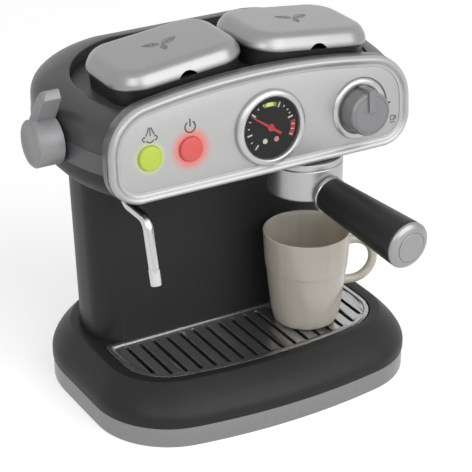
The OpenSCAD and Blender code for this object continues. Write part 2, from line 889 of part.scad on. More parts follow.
// Soft-edged hollow lid with a thumb notch at the front and two hinge lugs inside
function lid_ring(inset, z) = lift(pill(lid_w - 2 * inset, lid_d - 2 * inset, lid_r - inset, 7), z);
module lid(side) {
    w = lid_wall;
    at_lid(side) {
        difference() {
            loft([
                lid_ring(12, lid_h - w), lid_ring(7 + w, lid_h - w - 1.2), lid_ring(3 + w, lid_h - w - 3.6),
                lid_ring(w, lid_h / 2 - w), lid_ring(w, 0),
                lid_ring(0.4, 0), lid_ring(0, 0.5), lid_ring(0, lid_h * 0.42), lid_ring(0.8, lid_h * 0.61),
                lid_ring(2.6, lid_h * 0.79), lid_ring(5.4, lid_h * 0.92), lid_ring(9, lid_h * 0.985),
                lid_ring(12.5, lid_h)
            ]);
            translate([0, -lid_d / 2 - 3, notch_h - notch_cut_r])
                rotate([-90, 0, 0])
                    cylinder(h = 10, r = notch_cut_r);
            for (s = [-1, 1])
                translate([s * ear_x - ear_t / 2 - 0.6, hinge_y - 1, -1])
                    cube([ear_t + 1.2, 12, hinge_z + 4.5]);
            for (s = [-1, 1])
                translate([s * (ear_x + ear_t / 2), hinge_y, hinge_z])
                    rotate([0, 90 * s, 0])
                        cylinder(h = lug_t + 1.3, r = pin_r + shaft_gap);
        }
        for (s = [-1, 1])
            translate([s * (ear_x + ear_t / 2 + 0.3 + lug_t / 2) - lug_t / 2, hinge_y, hinge_z])
                rotate([0, 90, 0])
                    difference() {
                        union() {
                            cylinder(h = lug_t, r = ear_r);
                            translate([hinge_z - lug_top, -ear_r, 0])
                                cube([lug_top - hinge_z, 2 * ear_r, lug_t]);
                        }
                        translate([0, 0, -1])
                            cylinder(h = lug_t + 2, r = pin_r + shaft_gap);
                    }
    }
}

module lid_left() {
    color(silver)
        lid(-1);
}

module lid_right() {
    color(silver)
        lid(1);
}

module hinge_pins() {
    color(steel)
        for (side = [-1, 1], s = [-1, 1])
            at_lid(side)
                translate([s * ear_x - s * ear_t / 2, hinge_y, hinge_z])
                    rotate([0, 90 * s, 0])
                        cylinder(h = ear_t + 0.3 + lug_t, r = pin_r);
}

module cup_box(side, depth) {
    at_lid(side)
        difference() {
            union() {
                prism(pill(tank_w, tank_d, tank_r), slab_top - depth, slab_top + eps);
                prism(pill(tank_w + 2 * flange, tank_d + 2 * flange, tank_r + flange), slab_top, slab_top + 1.2);
            }
            prism(pill(tank_w - 3.2, tank_d - 3.2, tank_r - 1.6), slab_top - depth + 1.6, slab_top + 3);
        }
}

tank_depth = 42;
hopper_depth = 26;
module water_tank() {
    color([0.75, 0.85, 0.92, 0.6]) {
        cup_box(-1, tank_depth);
        at_lid(-1)
            translate([0, 3, slab_top - tank_depth - 5])
                cylinder(h = 5 + eps, r = 2.4);
    }
}

module bean_hopper() {
    color([0.55, 0.5, 0.45])
        cup_box(1, hopper_depth);
}

// ---------- panel ----------

pocket_border = 7;
back_t = 2.5;
stem_r = 2.5;
knob_shaft_r = 3;
spindle_r = 1;

module panel_frame() {
    color(grey)
        at_panel()
            difference() {
                prism(panel_plan(-0.4), 0, frame_t);
                prism(panel_plan(pocket_border), back_t, frame_t + 1);
                for (x = [steam_button_x, power_button_x]) {
                    translate([x, button_v, -1])
                        cylinder(h = 10, r = stem_r + shaft_gap);
                    translate([x, button_v + lamp_v, -1])
                        cylinder(h = 10, r = 2.2);
                }
                translate([knob_x, knob_v, -1])
                    cylinder(h = 10, r = knob_shaft_r + shaft_gap);
                // Ways for the lamp light and the wires of the gauge
                translate([gauge_x, gauge_v, -1])
                    cylinder(h = 10, r = 6);
            }
}

module control_panel() {
    f = frame_t;
    g = face_w;
    color(silver)
        at_panel()
            difference() {
                loft([
                    lift(panel_plan(0.6), f), lift(panel_plan(0), f + 0.6), lift(panel_plan(0), g - 0.2),
                    lift(panel_plan(rim_w * 0.13), g + rim_h * 0.6),
                    lift(panel_plan(rim_w * 0.36), g + rim_h),
                    lift(panel_plan(rim_w * 0.62), g + rim_h * 0.8),
                    lift(panel_plan(rim_w * 0.86), g + rim_h * 0.2),
                    lift(panel_plan(rim_w), g - 0.5),
                    lift(panel_plan(rim_w + 1), g)
                ]);
                for (x = [steam_button_x, power_button_x])
                    translate([x, button_v, 0]) {
                        cylinder(h = 30, r = button_r + 0.25);
                        cylinder(h = g - 1.2, r = button_r + 1.6);
                    }
                translate([gauge_x, gauge_v, 0])
                    cylinder(h = 30, r = spindle_r + 0.2);
                translate([knob_x, knob_v, 0])
                    cylinder(h = 30, r = knob_shaft_r + 0.3);
            }
}

module push_button(x) {
    top = face_w + 2.4;
    at_panel()
        translate([x, button_v, 0]) {
            rotate_extrude()
                polygon(concat(
                    [[0, face_w - 2.6], [button_r + 1.3, face_w - 2.6], [button_r + 1.3, face_w - 1.5],
                     [button_r, face_w - 1.5], [button_r, top - 1.6]],
                    [for (t = [30:20:90]) [button_r - 1.6 + 1.6 * cos(t), top - 1.6 + 1.6 * sin(t)]],
                    [[0, top + 0.5]]
                ));
            translate([0, 0, -1.5])
                cylinder(h = face_w - 1, r = stem_r);
        }
}

module steam_button() {
    color([0.65, 0.76, 0.2])
        push_button(steam_button_x);
}

module power_button() {
    color([0.85, 0.25, 0.25])
        push_button(power_button_x);
}

lamp_v = 6.5;
board_w = -4.6;
module button_board() {
    mid = (steam_button_x + power_button_x) / 2;
    span = power_button_x - steam_button_x;
    color([0.1, 0.35, 0.2])
        at_panel() {
            translate([mid - span / 2 - 10, button_v - 10, board_w - 1.6])
                cube([span + 20, 20, 1.6]);
            // Posts between the board and the frame
            for (s = [-1, 1])
                translate([mid + s * 6, button_v, board_w - eps])
                    cylinder(h = -board_w + eps, r = 2);
            for (x = [steam_button_x, power_button_x])
                translate([x - 3, button_v - 3, board_w - eps])
                    cube([6, 6, 1.4]);
        }
}

module button_lamps() {
    color([0.95, 0.95, 0.9])
        at_panel()
            for (x = [steam_button_x, power_button_x])
                translate([x, button_v + lamp_v, board_w]) {
                    cylinder(h = 2.2, r = 1.6);
                    translate([0, 0, 2.2])
                        sphere(r = 1.6);
                }
}

module gauge_bezel() {
    color(silver)
        at_panel()
            translate([gauge_x, gauge_v, face_w])
                rotate_extrude($fn = 96)
                    polygon([[dial_r, 0], [gauge_r, 0], [gauge_r, 1.2], [gauge_r - 0.7, 2.8],
                             [gauge_r - 2, 3.8], [dial_r + 1.4, 4.2], [dial_r, 3.2]]);
}

dial_t = 0.8;
module gauge_dial() {
    color([0.13, 0.13, 0.13])
        at_panel()
            translate([gauge_x, gauge_v, 0])
                tube(dial_r - 0.05, spindle_r + shaft_gap, face_w, face_w + dial_t);
}

module gauge_lamps() {
    color([0.9, 0.95, 0.85])
        at_panel()
            for (s = [-1, 1])
                translate([gauge_x + 4.2 * s, gauge_v - 8.5, face_w + dial_t])
                    cylinder(h = 0.2, r = 1.7);
}

needle_l = 17;
needle_tail = 9;
needle_turn = 55;
module gauge_needle() {
    color([0.8, 0.15, 0.2])
        at_panel()
            translate([gauge_x, gauge_v, face_w + dial_t + 0.5]) {
                rotate([0, 0, needle_turn])
                    linear_extrude(0.5)
                        polygon([[-0.9, -needle_tail], [0.9, -needle_tail], [0.9, 2], [0.25, needle_l], [-0.25, needle_l],
                                 [-0.9, 2]]);
                cylinder(h = 0.8, r = 2.4);
                translate([0, 0, -4])
                    cylinder(h = 4.2, r = spindle_r);
            }
}

module gauge_lens() {
    color([0.9, 0.95, 1, 0.3])
        at_panel()
            translate([gauge_x, gauge_v, face_w + 2.5])
                cylinder(h = 0.7, r = dial_r - 0.02, $fn = 96);
}

module knob_ring() {
    color(silver)
        at_panel()
            translate([knob_x, knob_v, face_w])
                rotate_extrude($fn = 96)
                    polygon([[knob_r + 0.6, 0], [knob_ring_r, 0], [knob_ring_r, 0.6], [knob_ring_r - 1.6, 1.7],
                             [knob_r + 1.6, 1.9], [knob_r + 0.6, 1]]);
}

rib_w = 5;
module selector_knob() {
    top = face_w + soft_gap + knob_h;
    color(grey)
        at_panel()
            translate([knob_x, knob_v, 0]) {
                rotate_extrude($fn = 96)
                    polygon([[0, face_w + soft_gap], [knob_r, face_w + soft_gap], [knob_r - 0.4, top - 1.4],
                             [knob_r - 1.4, top - 0.3], [knob_r - 2.6, top], [0, top]]);
                // Pointer rib over the face and down the side
                translate([-rib_w / 2, 2, top - 1])
                    cube([rib_w, knob_r - 0.6, 2.6]);
                translate([-rib_w / 2, knob_r - 2.4, face_w + soft_gap + 2.5])
                    cube([rib_w, 4, knob_h - 0.9]);
                translate([0, 0, -1.5])
                    cylinder(h = face_w + 3, r = knob_shaft_r);
            }
}

// ---------- steam lever ----------

hub_x0 = head_w / 2 + 1.3;
lever_z = head_z + lever_rise;
blade_in = 4.5;
module lever_boss() {
    color(black)
        translate([-hub_x0 + 0.5, lever_y, lever_z])
            rotate([0, 90, 0])
                tube(boss_r, lever_shaft_r + shaft_gap, 0, 12);
}

module steam_lever() {
    color(grey)
        translate([-hub_x0, lever_y, lever_z])
            rotate([0, -90, 0]) {
                rotate_extrude($fn = 96)
                    polygon([[0, 0], [hub_r, 0], [hub_r, hub_w - 1.2], [hub_r - 1.2, hub_w],
                             [hub_r - 4, hub_w], [hub_r - 5, hub_w - 0.6], [0, hub_w - 0.6]]);
                translate([0, 0, -14])
                    cylinder(h = 15, r = lever_shaft_r);
                // The blade rises from the back of the hub and leans forward
                rotate([0, 0, -lever_lean])
                    intersection() {
                        linear_extrude(hub_w)
                            polygon(concat(
                                [[0, blade_w]],
                                arc(lever_l - 3.5, blade_w + 1.5, 1.5, -90, -20, 4),
                                arc(lever_l - 2, blade_w + lever_t - 2, 2, -10, 90, 5),
                                [[0, hub_r]]
                            ));
                        translate([0, -big / 2, 0])
                            rotate([-90, 0, 0])
                                linear_extrude(big)
                                    polygon(concat(
                                        [[-1, 0], [-1, blade_in - hub_w]],
                                        arc(lever_l - blade_r, blade_in - hub_w + blade_r, blade_r, -90, 0, 6),
                                        [[lever_l, 0]]
                                    ));
                    }
            }
}
// Radius of the outer top corner of the blade
blade_r = 6;
// Distance of the front of the blade from the hub axis
blade_w = hub_r - lever_t - 2.6;

// ---------- steam wand ----------

wand_x = head_w / 2 - wand_in;
socket_r = 6.5;
socket_h = 5;
module wand_socket() {
    color(black)
        translate([-wand_x, -wand_y, 0]) {
            tube(socket_r, wand_r + shaft_gap, head_z - socket_h, head_z);
            tube(socket_r - 2, wand_r + shaft_gap, head_z - eps, head_z + 6);
        }
}

// Plane of the wand: x forwards, y up, seen from its pivot
module at_wand() {
    translate([-wand_x, -wand_y, head_z - socket_h - wand_bend])
        rotate([90, 0, -90])
            children();
}
nozzle_l = 11;

// Frame of the lower bend, whose start faces down the wand
module at_wand_bend() {
    at_wand()
        translate([wand_bend + wand_arm, -wand_bend, 0])
            rotate([0, 0, wand_lean])
                children();
}

module steam_wand() {
    color(silver) {
        at_wand() {
            translate([0, wand_bend, 0])
                rotate([-90, 0, 0])
                    cylinder(h = socket_h + 8, r = wand_r);
            translate([wand_bend, wand_bend, 0])
                rotate([0, 0, 180])
                    rotate_extrude(angle = 90)
                        translate([wand_bend, 0])
                            circle(r = wand_r);
            translate([wand_bend, 0, 0])
                rotate([0, 90, 0])
                    cylinder(h = wand_arm, r = wand_r);
        }
        at_wand_bend() {
            rotate_extrude(angle = 90 - wand_lean)
                translate([wand_bend, 0])
                    circle(r = wand_r);
            translate([wand_bend, 0, 0])
                rotate([90, 0, 0])
                    cylinder(h = wand_drop - nozzle_l, r = wand_r);
        }
    }
}

module wand_nozzle() {
    color(steel)
        at_wand_bend()
            translate([wand_bend, nozzle_l - wand_drop, 0])
                rotate([90, 0, 0])
                    rotate_extrude()
                        polygon([[1.2, 0], [wand_r, 0], [wand_r + 0.35, 0.5], [wand_r + 0.35, nozzle_l - 0.5],
                                 [wand_r, nozzle_l], [1.2, nozzle_l]]);
}

// ---------- brew group and portafilter ----------

neck_r = 11.5;
neck_top = head_z + 7;
group_z1 = head_z - 1.6;
group_z0 = group_z1 - group_h;
cup_z1 = group_z0 - soft_gap;
cup_z0 = cup_z1 - bowl_cup_h;
spigot_r = group_r - bowl_wall - shaft_gap;

module at_group() {
    translate([group_x, -group_y, 0])
        children();
}

module group_head() {
    color(steel)
        at_group() {
            rotate_extrude($fn = 96)
                polygon([[0, group_z0 - 3], [spigot_r, group_z0 - 3], [spigot_r, group_z0], [group_r, group_z0],
                         [group_r, group_z1 - 1], [group_r - 1, group_z1], [0, group_z1]]);
            translate([0, 0, group_z1 - 1])
                cylinder(h = neck_top - group_z1 + 1, r = neck_r);
        }
}

// Frame of the handle: x along the handle from the group axis
handle_z = cup_z0 + 6.6;
module at_handle() {
    translate([group_x, -group_y, handle_z])
        rotate([0, handle_dip, -90 + handle_turn])
            children();
}

// A revolved profile along the handle: points are [radius, distance]
module along_handle(profile) {
    at_handle()
        rotate([0, 90, 0])
            rotate_extrude($fn = 72)
                polygon(profile);
}

collar_l0 = group_r + 0.2;
collar_l1 = collar_l0 + 2.8;
module portafilter_bowl() {
    r1 = group_r - 2;
    color(steel)
        difference() {
            union() {
                at_group()
                    rotate_extrude($fn = 96)
                        polygon([[0, cup_z0], [r1, cup_z0], [group_r - 0.6, cup_z0 + 0.6], [group_r, cup_z0 + 2],
                                 [group_r, cup_z1], [0, cup_z1]]);
                along_handle([[0, group_r - 6], [9.5, group_r - 6], [9.5, collar_l0], [0, collar_l0]]);
            }
            at_group() {
                translate([0, 0, cup_z0 + bowl_wall + 3])
                    cylinder(h = bowl_cup_h, r = group_r - bowl_wall, $fn = 96);
                translate([0, 0, cup_z0 - 1])
                    cylinder(h = 20, r = 3);
            }
        }
}

module portafilter_collar() {
    color(steel)
        along_handle([[0, collar_l0], [grip_r0 + 0.4, collar_l0], [grip_r0 + 0.9, collar_l0 + 0.8],
                      [grip_r0 + 0.9, collar_l1 - 0.6], [grip_r0 + 0.4, collar_l1], [0, collar_l1]]);
}

cap_l = handle_l - 5;
module portafilter_grip() {
    color(black)
        along_handle([[0, collar_l1], [grip_r0 - 1, collar_l1], [grip_r0, collar_l1 + 1.2],
                      [grip_r1, cap_l - 6], [grip_r1 + 0.1, cap_l - 1], [grip_r1 - 0.3, cap_l], [0, cap_l]]);
}

module grip_end_cap() {
    color(silver)
        along_handle([[0, cap_l], [grip_r1 - 0.2, cap_l], [grip_r1 + 0.2, cap_l + 0.8],
                      [grip_r1 + 0.1, cap_l + 2.6], [grip_r1 - 1.2, cap_l + 4.2], [grip_r1 - 3, handle_l],
                      [grip_r1 - 3.6, handle_l - 0.5], [0, handle_l - 0.5]]);
}

// ---------- mug ----------

mug_z = deck_z + soft_gap;
module mug() {
    r = mug_r;
    f = mug_foot_r;
    w = mug_wall;
    step = 0.6;
    loop_x = mug_r + 4.2;
    loop_z = mug_h * 0.58;
    color([0.82, 0.8, 0.74])
        translate([mug_x, -mug_y, mug_z])
            rotate([0, 0, -mug_turn])
                difference() {
                    union() {
                        rotate_extrude($fn = 96)
                            polygon([[0, 0], [f - 2.5, 0], [f - 0.8, 0.7], [f + 0.4, 2.4], [f + 1.6, mug_h * 0.1],
                                     [r - 5.4, mug_h * 0.21], [r - 3.5, mug_h * 0.42], [r - 2.2, mug_h * step],
                                     [r - 1.1, mug_h * (step + 0.04)], [r - 0.6, mug_h * 0.8], [r, mug_h - 0.8],
                                     [r - 0.4, mug_h], [0, mug_h]]);
                        translate([loop_x, 0, loop_z])
                            rotate([90, 0, 0])
                                mug_loop();
                    }
                    rotate_extrude($fn = 96)
                        polygon([[0, 2.4], [f - 2, 2.4], [f - 0.6, 4.4], [r - 5.4 - w, mug_h * 0.21],
                                 [r - 3.5 - w, mug_h * 0.42], [r - 2.2 - w, mug_h * step],
                                 [r - 1.1 - w, mug_h * (step + 0.04)], [r - 0.6 - w, mug_h * 0.8],
                                 [r - w, mug_h - 0.6], [r - w, mug_h + 1], [0, mug_h + 1]]);
                }
}

// Half ring that ends in two short rods
module mug_loop() {
    rotate([0, 0, -90])
        rotate_extrude(angle = 180)
            translate([mug_loop_r, 0])
                circle(r = mug_rod_r, $fn = 32);
    for (s = [-1, 1])
        translate([0, s * mug_loop_r, 0])
            rotate([0, -90, 0])
                cylinder(h = 10.5, r = mug_rod_r, $fn = 32);
}

// ---------- inside ----------

board_l = 60;
board_h = 44;
board_z = 60;
module main_board() {
    wall_y = tower_y0 + tower_wall + 0.05;
    color([0.1, 0.35, 0.2]) {
        translate([-board_l / 2, wall_y + 5, board_z])
            cube([board_l, 1.6, board_h]);
        for (x = [4 - board_l / 2, board_l / 2 - 4], z = [board_z + 4, board_z + board_h - 4])
            translate([x, wall_y, z])
                rotate([-90, 0, 0])
                    cylinder(h = 5 + eps, r = 2);
        translate([-12, wall_y + 6.6 - eps, board_z + 14])
            cube([24, 3, 14]);
    }
}

module speaker() {
    color(grey)
        translate([0, back_y, speaker_z])
            rotate([90, 0, 0])
                rotate_extrude()
                    polygon([[0, 3], [6, 3], [14, 0.4], [14, 0], [speaker_r, 0], [speaker_r, 2], [15, 3.2],
                             [9, 8], [9, 13], [0, 13]]);
}

pump_x = -58;
pump_y = 36;
pump_r = 13;
pump_h = 34;
module water_pump() {
    color(steel)
        translate([pump_x, pump_y, plate_z1]) {
            cylinder(h = pump_h, r = pump_r);
            translate([-pump_r - 4, -6, 0])
                cube([2 * pump_r + 8, 12, 3]);
            for (s = [-1, 1])
                translate([7 * s, 0, pump_h - 1])
                    cylinder(h = 7, r = 2.6);
        }
}

hose_r = 2.6;
// Routes of the hoses, from the tank to the pump and from the pump to the brew group
function tank_drop(d) = lid_point(-1, [0, 3, slab_top - tank_depth - 5 - d]);
port_z = plate_z1 + pump_h + 6 + soft_gap;
tank_route = [tank_drop(soft_gap), tank_drop(2.3), tank_drop(5.8) + [-1, 5, 0], [-44, 17, head_z + 5],
              [-46, 22, head_z - 7], [-49, 27, head_z - 33], [pump_x + 7, pump_y, 90], [pump_x + 7, pump_y, port_z]];
group_route = [[pump_x - 7, pump_y, port_z], [pump_x - 7, pump_y, 90], [-60, 36, head_z - 43], [-40, 32, head_z - 17],
               [-14, 26, head_z + 5], [14, 6, head_z + 15], [36, -16, head_z + 19], [group_x, -28, head_z + 16],
               [group_x, -group_y, head_z + 11], [group_x, -group_y, neck_top + soft_gap]];
module tank_hose() {
    color([0.8, 0.85, 0.9])
        hose(tank_route, hose_r);
}

module group_hose() {
    color([0.8, 0.85, 0.9])
        hose(group_route, hose_r);
}

base_rim();
base_shell();
base_plate();
battery_box();
battery_cells();
battery_door();
base_screws();
drip_tray();
drip_grille();
tower_shell();
rear_cover();
rear_screws();
head_bowl();
side_band();
head_crown();
top_insert();
lid_left();
lid_right();
hinge_pins();
water_tank();
bean_hopper();
panel_frame();
control_panel();
steam_button();
power_button();
button_board();
button_lamps();
gauge_bezel();
gauge_dial();
gauge_lamps();
gauge_needle();
gauge_lens();
knob_ring();
selector_knob();
lever_boss();
steam_lever();
wand_socket();
steam_wand();
wand_nozzle();
group_head();
portafilter_bowl();
portafilter_collar();
portafilter_grip();
grip_end_cap();
mug();
tower_posts();
main_board();
speaker();
water_pump();
tank_hose();
group_hose();
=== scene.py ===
import math

import bpy
import bmesh
from mathutils import Matrix, Vector

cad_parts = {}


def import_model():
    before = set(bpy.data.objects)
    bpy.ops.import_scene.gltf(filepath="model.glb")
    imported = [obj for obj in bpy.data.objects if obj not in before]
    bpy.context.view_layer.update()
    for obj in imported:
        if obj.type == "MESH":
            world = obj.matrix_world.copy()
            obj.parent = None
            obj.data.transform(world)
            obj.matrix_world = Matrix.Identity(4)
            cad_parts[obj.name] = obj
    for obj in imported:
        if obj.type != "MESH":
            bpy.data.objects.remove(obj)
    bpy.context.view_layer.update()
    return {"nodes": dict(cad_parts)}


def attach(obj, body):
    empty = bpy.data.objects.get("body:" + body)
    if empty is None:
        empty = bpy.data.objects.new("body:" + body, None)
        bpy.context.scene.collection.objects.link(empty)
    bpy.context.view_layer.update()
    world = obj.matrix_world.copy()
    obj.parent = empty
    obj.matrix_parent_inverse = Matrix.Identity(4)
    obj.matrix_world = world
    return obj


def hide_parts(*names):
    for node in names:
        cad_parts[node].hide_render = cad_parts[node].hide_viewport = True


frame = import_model()

MM = 0.001
TINY = 1e-6  # metres
FAR = 200  # millimetres, past the object on every side

# ---------------------------------------------------------------- sizes, in millimetres, as in the CAD

BASE_W, BASE_D = 229, 184
BASE_FRONT_R, BASE_REAR_R, FRONT_BOW = 54, 74, 400
BAND_H, DECK_H = 14, 38.5
SLOPE_SIDE, SLOPE_FRONT, LIP_SIDE, LIP_FRONT = 12.5, 19, 8.2, 5.7
SHELL_WALL, SHELL_BULGE, RIM_WALL = 2.4, 0.6, 3
DECK_Z = DECK_H - 1.5
TOWER_Y0 = 90.2 - BASE_D / 2
HEAD_Z, HEAD_W, HEAD_REAR, HEAD_REAR_R, HEAD_SIDE_R = 163, 236, 86.5, 56, 115
HEAD_SIDE_Y, HEAD_FRONT = 8, 56
BAND_Z0 = HEAD_Z + 17.5
BAND_Z1 = BAND_Z0 + 14
CROWN_Z0 = BAND_Z1 + 5.5
CROWN_Z1 = HEAD_Z + 68
CROWN_R, CROWN_FALL = 620, 0.075
SHOULDER_W, SHOULDER_REAR, SHOULDER_TOP_R, SHOULDER_FRONT, SHOULDER_BEND = 18, 27, 50, 6, 0.6
INSERT_WALL_H = 12
LID_W, LID_D, LID_H, LID_R, LID_GAP, LID_TILT, LID_WALL = 92, 67, 10.8, 21.4, 2.4, 6.2, 2
LID_X, LID_Y, LID_Z = (LID_W + LID_GAP) / 2, -5.5, CROWN_Z1 + 2.6
HINGE_Y, HINGE_Z, PIN_HOLE_R = LID_D / 2 - 5, 3, 1.56
LUG_SLOT_X, LUG_X = 24, 27.8
NOTCH_W, NOTCH_H = 13, 4
LID_FLOOR = 11  # from the underside of a lid down to the floor of the insert
PANEL_W, PANEL_H, PANEL_TILT, PANEL_FRONT, PANEL_BOW = 219, 70, 4, 45, 495
PANEL_TOP_R, PANEL_LOW_R = 31, 21
PANEL_Z = HEAD_Z - 0.5
FRAME_T, FACE_T, RIM_H = 6, 3, 2.6
FACE = FRAME_T + FACE_T
DIAL_Z = FACE + 0.8
STEAM_X, POWER_X, BUTTON_V, BUTTON_R = -82, -53.5, 28.5, 8
GAUGE_X, GAUGE_V, GAUGE_R, DIAL_R = 3.5, 31, 25.3, 20.4
KNOB_X, KNOB_V, KNOB_RING_R = 71, 29.5, 20.3
LEVER_Y, LEVER_Z, BOSS_R = 4, 191.5, 8
MUG_R, MUG_H, MUG_FOOT_R, MUG_X, MUG_Y, MUG_WALL = 29.6, 67, 21.5, 45.4, 31.8, 1.6
MUG_LOOP_R, MUG_ROD_R, MUG_TURN = 15, 3.1, 11
MUG_Z = DECK_Z + 0.3
TOWER_W, TOWER_TAPER, TOWER_D, TOWER_FRONT_R, TOWER_REAR_R = 197.6, 4.7, 78, 18, 56
COVER_DEPTH = 36  # how far the rear cover reaches forward
GROUP_X, GROUP_Y, GROUP_R, GROUP_WALL, GROUP_SEAT_R = 43.5, 31, 25, 3.5, 11.6
BOWL_Z1 = HEAD_Z - 6.5
BOWL_Z0 = BOWL_Z1 - 21.8
HANDLE_Z, HANDLE_TURN, HANDLE_LEAN, GRIP_END = BOWL_Z0 + 6.6, -84, 4.2, 103
WAND_X, WAND_Y, WAND_R, WAND_BEND, WAND_LEAN, WAND_SEAT_R = 84.5, 21, 3.4, 8, 15, 4.6

# ---------------------------------------------------------------- outlines and profiles


def arc(cx, cy, r, a0, a1, n):
    """n + 1 points of a circle from angle a0 to a1, in degrees."""
    turns = [math.radians(a0 + (a1 - a0) * i / n) for i in range(n + 1)]
    return [(cx + r * math.cos(t), cy + r * math.sin(t)) for t in turns]


def plan(a, f, r, rf, rr, bow, n=20):
    """Outline with a bowed front at y = -f, a straight rear at y = r and round corners."""
    phi = math.degrees(math.acos((a - rf) / (bow - rf)))
    cy = bow - f - math.sqrt((bow - rf) ** 2 - (a - rf) ** 2)
    front = [180 + phi + (180 - 2 * phi) * i / n for i in range(1, n)]
    return (
        arc(a - rf, cy, rf, -phi, 0, n)
        + arc(a - rr, r - rr, rr, 0, 90, n)
        + arc(rr - a, r - rr, rr, 90, 180, n)
        + arc(rf - a, cy, rf, 180, 180 + phi, n)
        + [(bow * math.cos(math.radians(t)), bow - f + bow * math.sin(math.radians(t))) for t in front]
    )


def base_plan(side, front):
    """Outline of the base, moved in by side at the sides and the rear and by front at the front."""
    radii = BASE_FRONT_R - side, BASE_REAR_R - side, FRONT_BOW - side
    return plan(BASE_W / 2 - side, BASE_D / 2 - front, BASE_D / 2 - side, *radii)


def head_plan(side, rear, rear_r, front):
    """Outline of the head, moved in at its sides, rear and front, with rear corners of radius rear_r."""
    r = HEAD_SIDE_R - side
    cx = HEAD_W / 2 - HEAD_SIDE_R
    t = math.degrees(math.asin((HEAD_SIDE_Y + HEAD_FRONT - front) / r))
    x, y = HEAD_W / 2 - side - rear_r, HEAD_REAR - rear - rear_r
    return (
        arc(cx, HEAD_SIDE_Y, r, -t, 0, 16)
        + arc(x, y, rear_r, 0, 90, 28)
        + arc(-x, y, rear_r, 90, 180, 28)
        + arc(-cx, HEAD_SIDE_Y, r, 180, 180 + t, 16)
    )


def head_inset(d):
    return head_plan(d, d, HEAD_REAR_R - d, 0.4 * d)


def pill(w, d, r):
    """Rectangle w by d with corners of radius r."""
    x, y = w / 2 - r, d / 2 - r
    corners = [(x, y, 0), (-x, y, 90), (-x, -y, 180), (x, -y, 270)]
    return [point for cx, cy, start in corners for point in arc(cx, cy, r, start, start + 90, 16)]


def panel_plan(d):
    outline = plan(PANEL_W / 2 - d, PANEL_H - d, -d, PANEL_TOP_R - d, PANEL_LOW_R - d, PANEL_BOW - d, 16)
    return [(-x, -y) for x, y in outline]


def lift(points, z):
    return [(x, y, z) for x, y in points]


def spline(rows, per):
    """Smooth curve through rows of numbers (Catmull-Rom), with per steps between two rows."""

    def between(a, b, c, d, t):
        square, cube = 2 * a - 5 * b + 4 * c - d, 3 * b - a - 3 * c + d
        return 0.5 * (2 * b + (c - a) * t + square * t * t + cube * t**3)

    out = []
    last = len(rows) - 1
    for i in range(last):
        near = rows[max(i - 1, 0)], rows[i], rows[i + 1], rows[min(i + 2, last)]
        for k in range(per):
            out.append(tuple(between(*four, k / per) for four in zip(*near)))
    out.append(tuple(rows[-1]))
    return out


# ---------------------------------------------------------------- meshes

collection = bpy.context.scene.collection


def shade(mesh, sharp):
    """Smooth shading, with edges sharper than an angle in degrees kept."""
    mesh.shade_smooth()
    mesh.set_sharp_from_angle(angle=math.radians(sharp))


def from_bmesh(name, bm, matrix=None, sharp=35):
    """A new object from a bmesh in millimetres."""
    bmesh.ops.recalc_face_normals(bm, faces=bm.faces)
    bm.transform(Matrix.Scale(MM, 4))
    if matrix is not None:
        bm.transform(matrix)
    mesh = bpy.data.meshes.new(name)
    bm.to_mesh(mesh)
    bm.free()
    shade(mesh, sharp)
    obj = bpy.data.objects.new(name, mesh)
    collection.objects.link(obj)
    return obj


def skin(bm, rings, around=False):
    """Faces through rings of equally many points, with end caps or, around, closed from last to first."""
    rows = [[bm.verts.new(p) for p in ring] for ring in rings]
    n = len(rows[0])
    for low, high in zip(rows, rows[1:] + rows[:1] if around else rows[1:]):
        for j in range(n):
            k = (j + 1) % n
            bm.faces.new((low[j], low[k], high[k], high[j]))
    if not around:
        bm.faces.new(rows[0][::-1])
        bm.faces.new(rows[-1])


def loft(name, rings, around=False, matrix=None, sharp=35):
    bm = bmesh.new()
    skin(bm, rings, around=around)
    return from_bmesh(name, bm, matrix, sharp)


def revolve_rings(profile, n):
    """One ring of n points about Z for each (radius, height) of a profile."""
    turns = [math.radians(360 * i / n) for i in range(n)]
    return [[(r * math.cos(t), r * math.sin(t), z) for t in turns] for r, z in profile]


def turned_ring(name, profile, matrix, n=128):
    """A ring turned about Z from a closed profile of (radius, height)."""
    return loft(name, revolve_rings(profile, n), around=True, matrix=matrix, sharp=30)


def turned_solid(name, profile, matrix, n=96, sharp=35):
    """A solid turned about Z from a profile of (radius, height), closed flat at both ends."""
    axis = 0.05  # radius of the caps in the middle
    whole = [(axis, profile[0][1]), *profile, (axis, profile[-1][1])]
    return loft(name, revolve_rings(whole, n), matrix=matrix, sharp=sharp)


def swept(name, path, r, matrix, n=32):
    """A round rod along a path of (x, z) in the XZ plane."""
    rings = []
    across = Vector((0, 1, 0))
    turns = [2 * math.pi * k / n for k in range(n)]
    for i, (x, z) in enumerate(path):
        a, b = path[max(i - 1, 0)], path[min(i + 1, len(path) - 1)]
        up = Vector((b[0] - a[0], 0, b[1] - a[1])).normalized().cross(across)
        centre = Vector((x, 0, z))
        rings.append([tuple(centre + r * (math.cos(t) * across + math.sin(t) * up)) for t in turns])
    return loft(name, rings, matrix=matrix)


def prism_into(bm, points, z0, z1):
    skin(bm, [lift(points, z0), lift(points, z1)])


def prism(name, points, z0, z1, matrix=None):
    bm = bmesh.new()
    prism_into(bm, points, z0, z1)
    return from_bmesh(name, bm, matrix)


def block(x0, x1, y0, y1, z0, z1, matrix=None):
    return prism("cutter", [(x0, y0), (x1, y0), (x1, y1), (x0, y1)], z0, z1, matrix)


def rod(r, z0, z1, matrix=None, n=48, at=(0, 0)):
    circle = arc(0, 0, r, 0, 360 - 360 / n, n - 1)
    return prism("cutter", [(at[0] + x, at[1] + y) for x, y in circle], z0, z1, matrix)


